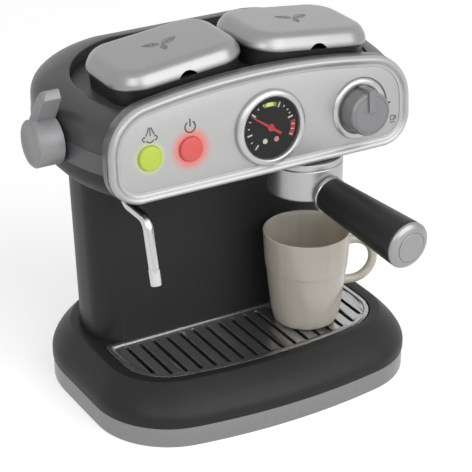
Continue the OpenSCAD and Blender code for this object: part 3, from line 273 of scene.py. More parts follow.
def carve(obj, *cutters, operation="DIFFERENCE", sharp=35):
    """Cuts the cutters from obj, or joins them to it, and removes them."""
    for cutter in cutters:
        modifier = obj.modifiers.new("cut", "BOOLEAN")
        modifier.object = cutter
        modifier.operation = operation
        modifier.solver = "EXACT"
    bake(obj, sharp)
    for cutter in cutters:
        bpy.data.objects.remove(cutter)
    return cleaned(obj, sharp)


def cleaned(obj, sharp):
    """Closes up the points and slivers that a cut leaves, and shades the mesh again."""
    bm = bmesh.new()
    bm.from_mesh(obj.data)
    for _ in range(3):
        bmesh.ops.remove_doubles(bm, verts=bm.verts, dist=TINY)
        bmesh.ops.dissolve_degenerate(bm, dist=TINY, edges=bm.edges)
    bm.to_mesh(obj.data)
    bm.free()
    shade(obj.data, sharp)
    return obj


def bake(obj, sharp):
    """Applies an object's modifiers."""
    bpy.context.view_layer.update()
    graph = bpy.context.evaluated_depsgraph_get()
    mesh = bpy.data.meshes.new_from_object(obj.evaluated_get(graph))
    obj.modifiers.clear()
    obj.data = mesh
    shade(mesh, sharp)


def bevel(obj, width, angle):
    """Rounds the edges sharper than an angle by a width in millimetres."""
    modifier = obj.modifiers.new("bevel", "BEVEL")
    modifier.width = width * MM
    modifier.segments = 2
    modifier.limit_method = "ANGLE"
    modifier.angle_limit = math.radians(angle)
    modifier.harden_normals = True
    bake(obj, angle)


def cad_copy(node, name, edge=0):
    """A finer-shaded copy of a CAD node, with soft edges where edge is a bevel width."""
    sharp = 30
    bm = bmesh.new()
    bm.from_mesh(frame["nodes"][node].data)
    bmesh.ops.remove_doubles(bm, verts=bm.verts, dist=2 * TINY)
    flat = math.radians(0.2)
    bmesh.ops.dissolve_limit(bm, angle_limit=flat, verts=bm.verts, edges=bm.edges, delimit={"NORMAL"})
    mesh = bpy.data.meshes.new(name)
    bm.to_mesh(mesh)
    bm.free()
    shade(mesh, sharp)
    obj = bpy.data.objects.new(name, mesh)
    collection.objects.link(obj)
    if edge:
        bevel(obj, edge, sharp)
    return obj


def place(obj, body, material, slot, *nodes):
    """Gives a piece its material, the body it rides on and the CAD nodes it stands for."""
    obj.data.materials.clear()
    obj.data.materials.append(material)
    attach(obj, body)
    if nodes:
        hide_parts(*nodes)
    return obj


# ---------------------------------------------------------------- places on the object


def moved(x, y, z):
    return Matrix.Translation(Vector((x, y, z)) * MM)


def turn(angle, axis):
    return Matrix.Rotation(math.radians(angle), 4, axis)


# The panel's rear plane, with X to the right, Y up the panel and Z out of it
AT_PANEL = moved(0, -PANEL_FRONT, PANEL_Z) @ turn(90 - PANEL_TILT, "X")


def on_panel(x, v, w):
    return AT_PANEL @ (Vector((x, v, w)) * MM)


def at_lid(side):
    """The middle of a lid's underside."""
    return moved(side * LID_X, LID_Y, LID_Z) @ turn(side * LID_TILT, "Y")


# ---------------------------------------------------------------- materials


def material(name, color, rough, rough_var=0.05, metal=0.0, spec=0.5, coat=0.0, coat_rough=0.08, speck=0.03,
             speck_scale=900.0, streak=1.0, grain=0.0, alpha=1.0, glow=0.0, subsurface=0.0):
    """Moulded or painted plastic or metal: slight mottling of colour and gloss, and a fine surface grain.

    rough_var is how far the roughness varies, speck is the share by which the colour does, and a streak
    below 1 draws the colour's pattern out along Z. grain is the strength of the bump.
    """
    m = bpy.data.materials.new(name)
    m.use_nodes = True
    nodes, links = m.node_tree.nodes, m.node_tree.links
    shader = nodes["Principled BSDF"]
    shader.inputs["Metallic"].default_value = metal
    shader.inputs["Specular IOR Level"].default_value = spec
    shader.inputs["Coat Weight"].default_value = coat
    shader.inputs["Coat Roughness"].default_value = coat_rough
    shader.inputs["Alpha"].default_value = alpha
    if subsurface:
        shader.inputs["Subsurface Weight"].default_value = subsurface
        shader.inputs["Subsurface Radius"].default_value = (1, 0.85, 0.65)
        shader.inputs["Subsurface Scale"].default_value = 0.004
    place_at = nodes.new("ShaderNodeTexCoord")
    cloud = nodes.new("ShaderNodeTexNoise")
    cloud.inputs["Scale"].default_value = speck_scale
    cloud.inputs["Detail"].default_value = 3
    drawn = nodes.new("ShaderNodeMapping")
    drawn.inputs["Scale"].default_value = (1, 1, streak)
    links.new(place_at.outputs["Object"], drawn.inputs["Vector"])
    links.new(drawn.outputs["Vector"], cloud.inputs["Vector"])
    ramp = nodes.new("ShaderNodeValToRGB")
    ramp.color_ramp.elements[0].position = 0.3
    ramp.color_ramp.elements[1].position = 0.7
    ramp.color_ramp.elements[0].color = [c * (1 - speck) for c in color] + [1]
    ramp.color_ramp.elements[1].color = [min(1, c * (1 + speck)) for c in color] + [1]
    links.new(cloud.outputs["Fac"], ramp.inputs["Fac"])
    links.new(ramp.outputs["Color"], shader.inputs["Base Color"])
    wear = nodes.new("ShaderNodeTexNoise")
    wear.inputs["Scale"].default_value = 28
    wear.inputs["Detail"].default_value = 4
    links.new(place_at.outputs["Object"], wear.inputs["Vector"])
    spread = nodes.new("ShaderNodeMapRange")
    spread.inputs["To Min"].default_value = max(0.02, rough - rough_var)
    spread.inputs["To Max"].default_value = min(1, rough + rough_var)
    links.new(wear.outputs["Fac"], spread.inputs["Value"])
    links.new(spread.outputs["Result"], shader.inputs["Roughness"])
    if grain:
        fine = nodes.new("ShaderNodeTexNoise")
        fine.inputs["Scale"].default_value = 2500
        fine.inputs["Detail"].default_value = 2
        links.new(place_at.outputs["Object"], fine.inputs["Vector"])
        bump = nodes.new("ShaderNodeBump")
        bump.inputs["Strength"].default_value = grain
        bump.inputs["Distance"].default_value = 0.0002
        links.new(fine.outputs["Fac"], bump.inputs["Height"])
        links.new(bump.outputs["Normal"], shader.inputs["Normal"])
    if glow:
        shader.inputs["Emission Color"].default_value = list(color) + [1]
        shader.inputs["Emission Strength"].default_value = glow
    return m


SILVER = material("silver_paint", (0.30, 0.30, 0.30), 0.36, metal=0.85, coat=0.15, coat_rough=0.3, grain=0.08)
# Painted shade: the silver paint made darker for the base's band, standing in for the dim reflections it
# shows; its stronger mottling is the paint's own
SHADED_BASE_SILVER = material("base_paint_shaded", (0.23, 0.23, 0.23), 0.34, metal=0.85, coat=0.15, coat_rough=0.3,
                       grain=0.08, speck=0.06)
LID = material("lid_paint", (0.29, 0.29, 0.29), 0.34, metal=0.85, coat=0.25, coat_rough=0.25, grain=0.08)
BEZEL = material("bezel_paint", (0.45, 0.45, 0.45), 0.32, metal=0.8, coat=0.2, coat_rough=0.2)
PANEL = material("panel_paint", (0.40, 0.40, 0.397), 0.42, metal=0.6, coat=0.1, coat_rough=0.35, grain=0.1)
GRILLE = material("grille_paint", (0.42, 0.42, 0.42), 0.22, rough_var=0.03, metal=0.9, coat=0.2, speck=0.12)
# Painted highlight: a lighter, less metallic finish for the grille's rounded edges, standing in for the light
# they catch
GRILLE_PAINTED_HIGHLIGHT = material("grille_painted_highlight", (0.75, 0.75, 0.75), 0.3, rough_var=0.03, metal=0.3, coat=0.3,
                       coat_rough=0.1)
BLACK = material("black_satin", (0.017, 0.017, 0.0175), 0.45, spec=0.22, grain=0.05)
BLACK_MATT = material("black_matt", (0.010, 0.010, 0.011), 0.5, spec=0.25, grain=0.1)
GRIP = material("black_grip", (0.011, 0.011, 0.012), 0.42, spec=0.35, grain=0.06)
INSERT = material("insert_matt", (0.012, 0.012, 0.013), 0.42, spec=0.35, grain=0.06)
INSERT_TOP = material("insert_top", (0.012, 0.012, 0.013), 0.4, spec=0.4, grain=0.06)
CHARCOAL = material("charcoal_paint", (0.045, 0.045, 0.046), 0.36, spec=0.45, grain=0.03)
BAND = material("band_paint", (0.085, 0.085, 0.09), 0.38, metal=0.3, coat=0.15, coat_rough=0.2)
FRAME = material("frame_paint", (0.12, 0.12, 0.125), 0.4, metal=0.3, coat=0.2, coat_rough=0.2)
KNOB = material("knob_paint", (0.20, 0.20, 0.205), 0.4, metal=0.3, coat=0.1)
LEVER = material("lever_paint", (0.26, 0.26, 0.265), 0.42, metal=0.2, spec=0.4)
GROUP = material("group_plate", (0.42, 0.42, 0.42), 0.36, rough_var=0.03, metal=0.85, speck_scale=700,
                 streak=0.1)
CHROME = material("wand_plate", (0.55, 0.55, 0.56), 0.2, rough_var=0.02, metal=1.0, speck=0.01)
COLLAR = material("collar_plate", (0.45, 0.45, 0.45), 0.28, rough_var=0.02, metal=1.0, speck=0.01)
STEEL = material("screw_steel", (0.45, 0.45, 0.45), 0.3, metal=1.0)
GREEN = material("green_button", (0.37, 0.46, 0.05), 0.4, glow=0.15)
RED = material("red_button", (0.52, 0.075, 0.07), 0.45, glow=0.15)
DIAL = material("dial_print", (0.010, 0.010, 0.009), 0.6, spec=0.15)
NEEDLE = material("needle_paint", (0.42, 0.025, 0.03), 0.4)
WHITE_INK = material("white_ink", (0.6, 0.6, 0.57), 0.5)
RED_INK = material("red_ink", (0.32, 0.03, 0.025), 0.5)
GREEN_INK = material("green_ink", (0.22, 0.26, 0.04), 0.5)
DARK_INK = material("dark_ink", (0.035, 0.035, 0.035), 0.45)
EMBLEM = material("emblem_line", (0.17, 0.17, 0.17), 0.45, metal=0.4)
LAMP = material("lamp_lens", (0.5, 0.55, 0.42), 0.2, glow=0.2)
GAUGE_LAMP = material("gauge_lamp", (0.5, 0.55, 0.42), 0.3, glow=0.1)
LENS = material("clear_lens", (0.1, 0.1, 0.1), 0.03, rough_var=0.01, alpha=0.05)
TANK = material("clear_tank", (0.8, 0.88, 0.92), 0.06, alpha=0.35)
SMOKE = material("smoke_tank", (0.07, 0.06, 0.055), 0.15, alpha=0.92)
TUBE = material("milky_tube", (0.6, 0.62, 0.62), 0.3)
BOARD = material("board_green", (0.03, 0.14, 0.06), 0.5)
WRAP = material("cell_wrap", (0.04, 0.04, 0.045), 0.3)
PUMP = material("pump_grey", (0.3, 0.3, 0.31), 0.5)
MUG = material("mug_pearl", (0.44, 0.412, 0.355), 0.24, coat=0.4, coat_rough=0.06, speck=0.07, speck_scale=90,
               streak=0.05, subsurface=0.75)


def tint(m, spots):
    """Mixes a colour into a material around each spot, fading out by the distance from its centre.

    A spot is its centre and radius in metres, the colour and the share of it at the centre.
    """
    nodes, links = m.node_tree.nodes, m.node_tree.links
    shader = nodes["Principled BSDF"]
    base = shader.inputs["Base Color"].links[0].from_socket
    place_at = nodes["Texture Coordinate"]
    for centre, radius, color, strength in spots:
        gap = nodes.new("ShaderNodeVectorMath")
        gap.operation = "DISTANCE"
        gap.inputs[1].default_value = centre
        links.new(place_at.outputs["Object"], gap.inputs[0])
        fade = nodes.new("ShaderNodeMapRange")
        fade.interpolation_type = "SMOOTHSTEP"
        fade.inputs["From Min"].default_value = 0.5 * radius
        fade.inputs["From Max"].default_value = radius
        fade.inputs["To Min"].default_value = strength
        fade.inputs["To Max"].default_value = 0
        links.new(gap.outputs["Value"], fade.inputs["Value"])
        mix = nodes.new("ShaderNodeMix")
        mix.data_type = "RGBA"
        mix.inputs[7].default_value = [*color, 1]
        links.new(fade.outputs["Result"], mix.inputs[0])
        links.new(base, mix.inputs[6])
        base = mix.outputs[2]
    links.new(base, shader.inputs["Base Color"])


# Painted glow: the light of the lit buttons, painted into the panel's colour around each
tint(PANEL, [
    (on_panel(STEAM_X, BUTTON_V, FACE), 0.0125, (0.58, 0.66, 0.20), 0.7),
    (on_panel(POWER_X, BUTTON_V, FACE), 0.0160, (0.70, 0.16, 0.13), 0.85),
])
# The floor of the insert takes the tone of the head beside the front corners
tint(INSERT_TOP, [((side * 0.116, -0.03, 0.222), 0.062, (0.045, 0.045, 0.046), 1) for side in (-1, 1)])
# Bright middle of the gauge's green bar, and the colour of its right lamp
tint(GREEN_INK, [(on_panel(GAUGE_X, GAUGE_V + 15, FACE + 1), 0.0035, (0.70, 0.75, 0.25), 1)])
tint(GAUGE_LAMP, [(on_panel(GAUGE_X + 4.2, GAUGE_V - 8.5, FACE + 1), 0.006, (0.55, 0.20, 0.16), 1)])

# The CAD nodes that stay
NODE_MATERIALS = {
    "base_plate": BLACK_MATT, "battery_box": BLACK_MATT, "battery_cells": WRAP, "battery_door": BLACK_MATT,
    "base_screws": STEEL, "drip_tray": BLACK_MATT, "rear_screws": STEEL, "hinge_pins": STEEL,
    "water_tank": TANK, "bean_hopper": SMOKE, "button_board": BOARD, "button_lamps": LAMP, "gauge_dial": DIAL,
    "gauge_lamps": GAUGE_LAMP, "gauge_needle": NEEDLE, "gauge_lens": LENS, "lever_boss": BLACK_MATT,
    "wand_socket": BLACK_MATT, "tower_posts": BLACK_MATT, "main_board": BOARD, "speaker": BLACK_MATT,
    "water_pump": PUMP, "tank_hose": TUBE, "group_hose": TUBE,
}
for node, finish in NODE_MATERIALS.items():
    data = frame["nodes"][node].data
    data.materials.clear()
    data.materials.append(finish)

# ---------------------------------------------------------------- base


def base_rings(section):
    """Rings of the base for a section of (height, inset at the sides, inset at the front)."""
    return [lift(base_plan(side, front), z) for z, side, front in section]


def base_rim():
    edge = 0.7
    section = [(0, edge), (edge, 0), (BAND_H - edge, 0), (BAND_H - 0.2, 0.25), (BAND_H, edge)]
    section += [(BAND_H, RIM_WALL), (0, RIM_WALL)]
    band = loft("base_band", base_rings([(z, inset, inset) for z, inset in section]), around=True)
    # The band takes the silver paint darkened as painted shade
    place(band, "machine", SHADED_BASE_SILVER, "silver_paint", "base_rim")


def base_shell():
    slope_z = BAND_H + 5
    lip_in, lip_in_front = SLOPE_SIDE + LIP_SIDE, SLOPE_FRONT + LIP_FRONT

    def slope(v, under=0.0):
        """Point of the bulging side at share v of its height, or under it by the wall."""
        u = v**1.6
        return (
            slope_z + (DECK_H - slope_z) * v - 0.7 * under,
            -SHELL_BULGE + (SLOPE_SIDE + SHELL_BULGE) * u + 0.7 * under,
            -SHELL_BULGE + (SLOPE_FRONT + SHELL_BULGE) * u + 0.7 * under,
        )

    section = (
        [(BAND_H, -SHELL_BULGE + 0.5, -SHELL_BULGE + 0.5), (BAND_H + 0.5, -SHELL_BULGE, -SHELL_BULGE)]
        + [slope(i / 14) for i in range(14)]
        + [
            slope(0.975),
            (DECK_H - 0.12, SLOPE_SIDE - 0.2, SLOPE_FRONT - 0.2),
            (DECK_H, SLOPE_SIDE + 0.4, SLOPE_FRONT + 0.4),
            (DECK_H, lip_in - 0.8, lip_in_front - 0.8),
            (DECK_H - 0.25, lip_in - 0.2, lip_in_front - 0.2),
            (DECK_H - 0.8, lip_in, lip_in_front),
            (DECK_Z - 8, lip_in, lip_in_front),
            (DECK_Z - 8, lip_in - 2, lip_in_front - 2),
            (DECK_H - SHELL_WALL, lip_in - 2, lip_in_front - 2),
            (DECK_H - SHELL_WALL, SLOPE_SIDE + 1.4, SLOPE_FRONT + 1.4),
        ]
        + [slope(v, SHELL_WALL) for v in (0.8, 0.42, 0)]
        + [(BAND_H, RIM_WALL, RIM_WALL)]
    )
    shell = loft("base_body", base_rings(section), around=True, sharp=40)
    deck = prism("deck", base_plan(lip_in - 1, lip_in_front - 1), DECK_H - SHELL_WALL, DECK_H - 0.02)
    front_part = block(-FAR, FAR, -FAR, TOWER_Y0, 0, 100)
    opening = block(-76, 76, TOWER_Y0 + 12, TOWER_Y0 + 58, 0, 100)
    carve(deck, front_part, opening)
    grille_a = BASE_W / 2 - lip_in - 0.8
    wall = block(-grille_a, grille_a, TOWER_Y0, TOWER_Y0 + SHELL_WALL, 3.6, DECK_H - 1)
    carve(shell, deck, wall, operation="UNION", sharp=40)
    place(shell, "machine", BLACK, "black_satin", "base_shell")


# ---------------------------------------------------------------- head


def crown(x, y):
    """Height of the head's top."""
    return CROWN_Z1 - x * x / (2 * CROWN_R) - CROWN_FALL * max(0, 45 - y)


def shoulder_ring(t, wall):
    """Ring of the shoulder at angle t of its rise, 0 to 90, moved in by wall."""
    q = 1 - math.cos(math.radians(t))
    side = wall + (SHOULDER_W - 2 * wall) * q
    rear = wall + (SHOULDER_REAR - 2 * wall) * q
    front = wall + (SHOULDER_FRONT - 2 * wall) * q
    corner = HEAD_REAR_R - wall - (HEAD_REAR_R - SHOULDER_TOP_R - 2 * wall) * q
    rise = math.sin(math.radians(t)) ** SHOULDER_BEND
    outline = head_plan(side, rear, corner, front)
    return [(x, y, CROWN_Z0 + (crown(x, y) - wall - CROWN_Z0) * rise) for x, y in outline]


def opening_ring(d, drop):
    """Ring of the opening for the insert, moved out by d and down by drop."""
    outline = head_plan(SHOULDER_W - d, SHOULDER_REAR - d, SHOULDER_TOP_R + d, SHOULDER_FRONT - d)
    return [(x, y, crown(x, y) - drop) for x, y in outline]


def panel_cutter():
    return block(-FAR, FAR, -FAR, FAR, 0, FAR, AT_PANEL)


def lever_cutter():
    return rod(BOSS_R + 0.1, 0, 140, moved(-FAR, LEVER_Y, LEVER_Z) @ turn(90, "Y"))


def head_bowl():
    outer = spline([(0, 10), (1.2, 7.6), (4.5, 4.6), (9.5, 2.2), (17.5, 0.8)], 5)
    inner = [(17.5, 3.4), (9.5, 4.8), (5.5, 7.5), (SHELL_WALL, 12.5)]
    shell = loft("head_lower", [lift(head_inset(d), HEAD_Z + z) for z, d in outer + inner])
    floor = HEAD_Z - 1, HEAD_Z + 7
    carve(
        shell,
        panel_cutter(),
        block(-60, 60, TOWER_Y0 + 12, TOWER_Y0 + 56, *floor),
        rod(GROUP_SEAT_R, *floor, at=(GROUP_X, -GROUP_Y)),
        rod(WAND_SEAT_R, *floor, at=(-WAND_X, -WAND_Y)),
    )
    place(shell, "machine", BLACK, "black_satin", "head_bowl")


def side_band():
    face, back, edge = -0.3, SHELL_WALL + 0.4, 0.35
    section = [(BAND_Z0, face + edge), (BAND_Z0 + edge, face), (BAND_Z1 - edge, face), (BAND_Z1, face + edge)]
    section += [(BAND_Z1, back), (BAND_Z0, back)]
    band = loft("grey_band", [lift(head_inset(d), z) for z, d in section], around=True)
    carve(band, panel_cutter(), lever_cutter())
    place(band, "machine", BAND, "grey_band", "side_band")


def head_crown():
    w, edge = SHELL_WALL, 0.3
    rings = (
        [lift(head_plan(edge, edge, HEAD_REAR_R, 0), BAND_Z1)]
        + [lift(head_plan(0, 0, HEAD_REAR_R, 0), BAND_Z1 + edge)]
        + [shoulder_ring(t, 0) for t in (0, 0.6, 1.5, 3, 5, 8, 12, 16, 20, *range(25, 90, 5), 88)]
        + [opening_ring(0, 0.25), opening_ring(0, INSERT_WALL_H), opening_ring(w, INSERT_WALL_H)]
        + [shoulder_ring(t, w) for t in (90, 67.5, 45, 22.5, 0)]
        + [lift(head_plan(w, w, HEAD_REAR_R - w, w), BAND_Z1)]
    )
    shell = loft("head_upper", rings, around=True, sharp=40)
    carve(shell, panel_cutter(), lever_cutter(), sharp=40)
    place(shell, "machine", CHARCOAL, "charcoal_gloss", "head_crown")


# ---------------------------------------------------------------- lids


def line_strip(bm, points, width, z0, z1, closed=False):
    """A thin flat line of a given width along points."""
    n = len(points)
    left, right = [], []
    for i, (x, y) in enumerate(points):
        a = points[(i - 1) % n] if closed or i else points[i]
        b = points[(i + 1) % n] if closed or i < n - 1 else points[i]
        dx, dy = b[0] - a[0], b[1] - a[1]
        length = math.hypot(dx, dy)
        nx, ny = -dy / length * width / 2, dx / length * width / 2
        left.append((x + nx, y + ny))
        right.append((x - nx, y - ny))
    if closed:
        skin(bm, [lift(left, z0), lift(left, z1), lift(right, z1), lift(right, z0)], around=True)
    else:
        prism_into(bm, right + left[::-1], z0, z1)


def leaf(length, width):
    """Lines of a leaf from the origin along +X, with whether each is closed: outline, midrib, side veins."""
    n = 12
    edge = [(length * i / n, 0.5 * width * math.sin(math.pi * (i / n) ** 0.85)) for i in range(n + 1)]
    outline = edge + [(x, -y) for x, y in edge[-2:0:-1]]
    lines = [(outline, True), ([(0.4, 0), (length * 0.86, 0)], False)]
    for t in (0.28, 0.48, 0.68):
        for s in (-1, 1):
            reach = 0.32 * width * math.sin(math.pi * t**0.85)
            lines.append(([(length * t, s * 0.3), (length * t + reach, s * reach)], False))
    return lines


# Angle, length, width and foot of each leaf of the sprig on a lid
SPRIG = [(18, 12.5, 5.6, (0.8, 0.6)), (158, 11, 5, (-0.8, 0.8)), (262, 8.5, 4.2, (0, -0.8))]


def spun(points, angle, at):
    c, s = math.cos(math.radians(angle)), math.sin(math.radians(angle))
    return [(at[0] + x * c - y * s, at[1] + x * s + y * c) for x, y in points]


def lid_shell(name, at):
    """A lid with its thumb notch, and the slots and pin holes of its hinge."""

    def ring(inset, z):
        return lift(pill(LID_W - 2 * inset, LID_D - 2 * inset, LID_R - inset), z)

    w = LID_WALL
    inner = [(12, LID_H - w), (7 + w, LID_H - w - 1.2), (3 + w, LID_H - w - 3.6), (w, LID_H / 2 - w), (w, 0)]
    curve = [(0, 0.16), (0.6, 0.34), (1.75, 0.54), (3.3, 0.745), (5.4, 0.905), (8.2, 0.985), (11, 1)]
    outer = [(0.4, 0), (0.1, 0.12), (0, 0.5)] + spline([(inset, LID_H * share) for inset, share in curve], 4)
    shell = loft(name, [ring(inset, z) for inset, z in inner + outer], matrix=at, sharp=50)
    notch_r = (NOTCH_W**2 / 4 + NOTCH_H**2) / (2 * NOTCH_H)
    at_notch = at @ moved(0, -LID_D / 2 - 3, NOTCH_H - notch_r) @ turn(-90, "X")
    cutters = [rod(notch_r, 0, 10, at_notch, 64)]
    for side in (-1, 1):
        x = side * LUG_SLOT_X
        cutters.append(block(x - 2.1, x + 2.1, HINGE_Y - 1, HINGE_Y + 11, -1, HINGE_Z + 4.5, at))
        pin = moved(side * 25.5, HINGE_Y, HINGE_Z) @ turn(90 * side, "Y")
        cutters.append(rod(PIN_HOLE_R, 0, 5.3, at @ pin, 32))
    return carve(shell, *cutters, sharp=50)


def lid_lugs(name, at):
    """The arches inside a lid that its hinge pins pass through."""
    lugs = bmesh.new()
    top = HINGE_Z - LID_H * 0.69
    arch = arc(0, 0, 2.6, -90, 90, 12) + [(top, 2.6), (top, -2.6)]
    hole = arc(0, 0, PIN_HOLE_R, -90, 90, 12) + [(-1.2, 1), (-1.2, -1)]
    for side in (-1, 1):
        part = bmesh.new()
        skin(part, [lift(arch, 0), lift(arch, 4), lift(hole, 4), lift(hole, 0)], around=True)
        part.transform(Matrix.Translation((side * LUG_X - 2, HINGE_Y, HINGE_Z)) @ turn(90, "Y"))
        mesh = bpy.data.meshes.new("part")
        part.to_mesh(mesh)
        part.free()
        lugs.from_mesh(mesh)
        bpy.data.meshes.remove(mesh)
    return from_bmesh(name, lugs, at)


def lid(side, node, name):
    at = at_lid(side)
    shell = lid_shell(name, at)
    place(lid_lugs(name + "_lugs", at), node, LID, "silver_paint")
    place(shell, node, LID, "silver_paint", node)
    marks = bmesh.new()
    for angle, length, width, foot in SPRIG:
        for line, closed in leaf(length, width):
            line_strip(marks, spun(line, angle, foot), 0.55, LID_H - 0.1, LID_H + 0.12, closed)
    place(from_bmesh(name + "_sprig", marks, at), node, EMBLEM, "silver_paint")


def insert_plate():
    """The insert, whose floor under the lids has a finish of its own."""
    plate = place(cad_copy("top_insert", "insert_plate"), "machine", INSERT, "black_insert", "top_insert")
    plate.data.materials.append(INSERT_TOP)
    for face in plate.data.polygons:
        seat = at_lid(1 if face.center.x > 0 else -1)
        height = (seat.inverted() @ face.center).z
        if abs(height + LID_FLOOR * MM) < 0.0003 and face.normal.dot(seat.col[2].to_3d()) > 0.9:
            face.material_index = 1


# ---------------------------------------------------------------- panel


def control_panel():
    bead = [(0.75, 0.6), (2.1, 1), (3.5, 0.82), (4.6, 0.45), (5.4, 0.24), (6.3, 0.17), (6.9, 0.15)]
    rim = spline([(0, FACE - 0.2)] + [(inset, FACE + RIM_H * share) for inset, share in bead], 5)
    groove = [(7.1, FACE + 0.25), (7.2, FACE - 0.1), (7.6, FACE - 0.1), (7.9, FACE)]
    section = [(0.6, FRAME_T), (0, FRAME_T + 0.6)] + rim + groove
    face = loft("panel_face", [lift(panel_plan(inset), z) for inset, z in section], matrix=AT_PANEL, sharp=45)
    cutters = []
    for x in (STEAM_X, POWER_X):
        cutters.append(rod(BUTTON_R + 0.25, 0, 30, AT_PANEL, 64, (x, BUTTON_V)))
        cutters.append(rod(BUTTON_R + 1.6, 0, FACE - 1.2, AT_PANEL, 64, (x, BUTTON_V)))
    cutters.append(rod(1.2, 0, 30, AT_PANEL, 32, (GAUGE_X, GAUGE_V)))
    cutters.append(rod(3.3, 0, 30, AT_PANEL, 32, (KNOB_X, KNOB_V)))
    carve(face, *cutters, sharp=45)
    place(face, "machine", PANEL, "silver_panel", "control_panel")
    place(cad_copy("panel_frame", "panel_surround", 0.3), "machine", FRAME, "grey_frame", "panel_frame")


def inlay(name, draw, finish, slot, at, surface, height=0.1):
    """A printed mark: thin flat shapes drawn around a point of the panel, just sunk into a surface."""
    bm = bmesh.new()
    draw(bm, surface - 0.02, surface + height)
    place(from_bmesh(name, bm, AT_PANEL @ moved(*at, 0)), "machine", finish, slot)


def power_icon(bm, z0, z1):
    line_strip(bm, arc(0, 0, 3.6, 122, 418, 30), 0.9, z0, z1)
    line_strip(bm, [(0, 0.2), (0, 5.2)], 0.9, z0, z1)


def steam_icon(bm, z0, z1):
    line_strip(bm, [(0.3, 5), (0.3, -0.6)], 0.7, z0, z1)
    for s in (-1, 1):
        line_strip(bm, [(0.3 + s * x, y) for x, y in [(0.9, 4.8), (1.7, 2.4), (3, -0.2)]], 0.7, z0, z1)
        line_strip(bm, [(s * x, y) for x, y in arc(3.7, -2.2, 1.3, -110, 120, 12)], 0.7, z0, z1)
    line_strip(bm, arc(0.1, -2.2, 2.6, 205, 335, 12), 0.8, z0, z1)


def dial_ticks(angles, r0, r1, width):
    def draw(bm, z0, z1):
        for a in angles:
            c, s = math.cos(math.radians(a)), math.sin(math.radians(a))
            line_strip(bm, [(r0 * c, r0 * s), (r1 * c, r1 * s)], width, z0, z1)

    return draw


def red_zone(bm, z0, z1):
    line_strip(bm, arc(0, 0, 16.6, -30, 6, 14), 3.2, z0, z1)


def green_bar(bm, z0, z1):
    line_strip(bm, arc(0, 0, 15.2, 72, 106, 12), 2.6, z0, z1)


def dial_marks():
    at = (GAUGE_X, GAUGE_V)
    major = dial_ticks([228, 190, 140, 64, 16], 13.6, 17.2, 1.0)
    minor = dial_ticks([209, 174, 157, 122, 107, 50, 36, 26], 15.2, 16.6, 0.7)
    red_ticks = dial_ticks([-26, -14, -3], 15.4, 17.8, 0.6)
    inlay("dial_ticks", major, WHITE_INK, "dial_face", at, DIAL_Z)
    inlay("dial_dots", minor, WHITE_INK, "dial_face", at, DIAL_Z)
    inlay("dial_red_zone", red_zone, RED_INK, "dial_face", at, DIAL_Z, 0.07)
    inlay("dial_red_ticks", red_ticks, WHITE_INK, "dial_face", at, DIAL_Z, 0.12)
    inlay("dial_green_bar", green_bar, GREEN_INK, "dial_face", at, DIAL_Z)


def knob_scale(bm, z0, z1):
    """A line along the knob's ring that gets thinner towards its end."""
    n = 48
    inner = arc(0, 0, KNOB_RING_R + 0.35, 3, 142, n)
    outer = []
    for i, (x, y) in enumerate(inner):
        grow = 1 + (0.95 - 0.7 * i / n) / KNOB_RING_R
        outer.append((x * grow, y * grow))
    prism_into(bm, outer + inner[::-1], z0, z1)


def knob_dots(bm, z0, z1):
    """A dot where the scale starts, and a small cup below it."""
    prism_into(bm, arc(23.4, -0.2, 0.75, 0, 330, 11), z0, z1)
    line_strip(bm, [(24.2, -9.8), (24.6, -12.8), (27, -12.8), (27.4, -9.8)], 0.6, z0, z1, closed=True)
    line_strip(bm, arc(27.3, -11.2, 1.1, -75, 65, 8), 0.5, z0, z1)
    line_strip(bm, [(23.9, -14.3), (27.6, -14.3)], 0.5, z0, z1)


def knob_marks():
    for name, draw in (("knob_scale", knob_scale), ("knob_dots", knob_dots)):
        inlay(name, draw, DARK_INK, "silver_panel", (KNOB_X, KNOB_V), FACE, 0.12)


# ---------------------------------------------------------------- turned fittings


def bezels():
    lip = [(24.9, 2.4), (24.2, 3.3), (23.1, 3.9), (22.2, 4.15), (21.4, 4.1), (20.8, 3.7), (DIAL_R, 3)]
    gauge = [(DIAL_R, 0), (GAUGE_R - 0.2, 0), (GAUGE_R, 0.3), (GAUGE_R, 1.4)] + spline(lip, 4)
    gauge_ring = turned_ring("gauge_ring", gauge, AT_PANEL @ moved(GAUGE_X, GAUGE_V, FACE))
    place(gauge_ring, "machine", BEZEL, "silver_panel", "gauge_bezel")
    at_knob = AT_PANEL @ moved(KNOB_X, KNOB_V, FACE)
    bead = [(20.3, 0.7), (19.7, 1.3), (18.6, 1.75), (17.4, 1.9), (16.3, 1.65), (15.6, 1)]
    bezel = turned_ring("knob_bezel", [(15.6, 0), (KNOB_RING_R, 0)] + spline(bead, 4), at_knob)
    place(bezel, "machine", BEZEL, "silver_panel", "knob_ring")
    line = [(12.0, 14.2), (12.4, 14.2), (12.4, 14.36), (12.0, 14.36)]
    place(turned_ring("knob_line", line, at_knob), "selector_knob", FRAME, "grey_knob")


def filter_bowl(at_group, at_handle):
    z0, z1, r = BOWL_Z0, BOWL_Z1, GROUP_R
    inner = r - GROUP_WALL
    foot = [(r - 2, z0 + 0.05), (r - 0.9, z0 + 0.45), (r - 0.2, z0 + 1.2), (r, z0 + 2.2)]
    cup = [(3, z0), (r - 2.4, z0)] + spline(foot, 3)
    cup += [(r, z1 - 0.5), (r - 0.4, z1), (inner, z1), (inner, z0 + 6.5), (3, z0 + 6.5)]
    bowl = turned_ring("filter_bowl", cup, at_group)
    neck = spline([(10.1, r - 2), (9.7, r - 0.8), (9.5, r + 0.2)], 4)[4:]
    stub = turned_solid("cutter", [(9, r - 3)] + neck, at_handle)
    core = rod(inner, z0 + 6.5, z1 + 5, at_group, 128)
    carve(bowl, stub, operation="UNION", sharp=30)
    carve(bowl, core, sharp=30)
    place(bowl, "portafilter", GROUP, "group_grey", "portafilter_bowl")


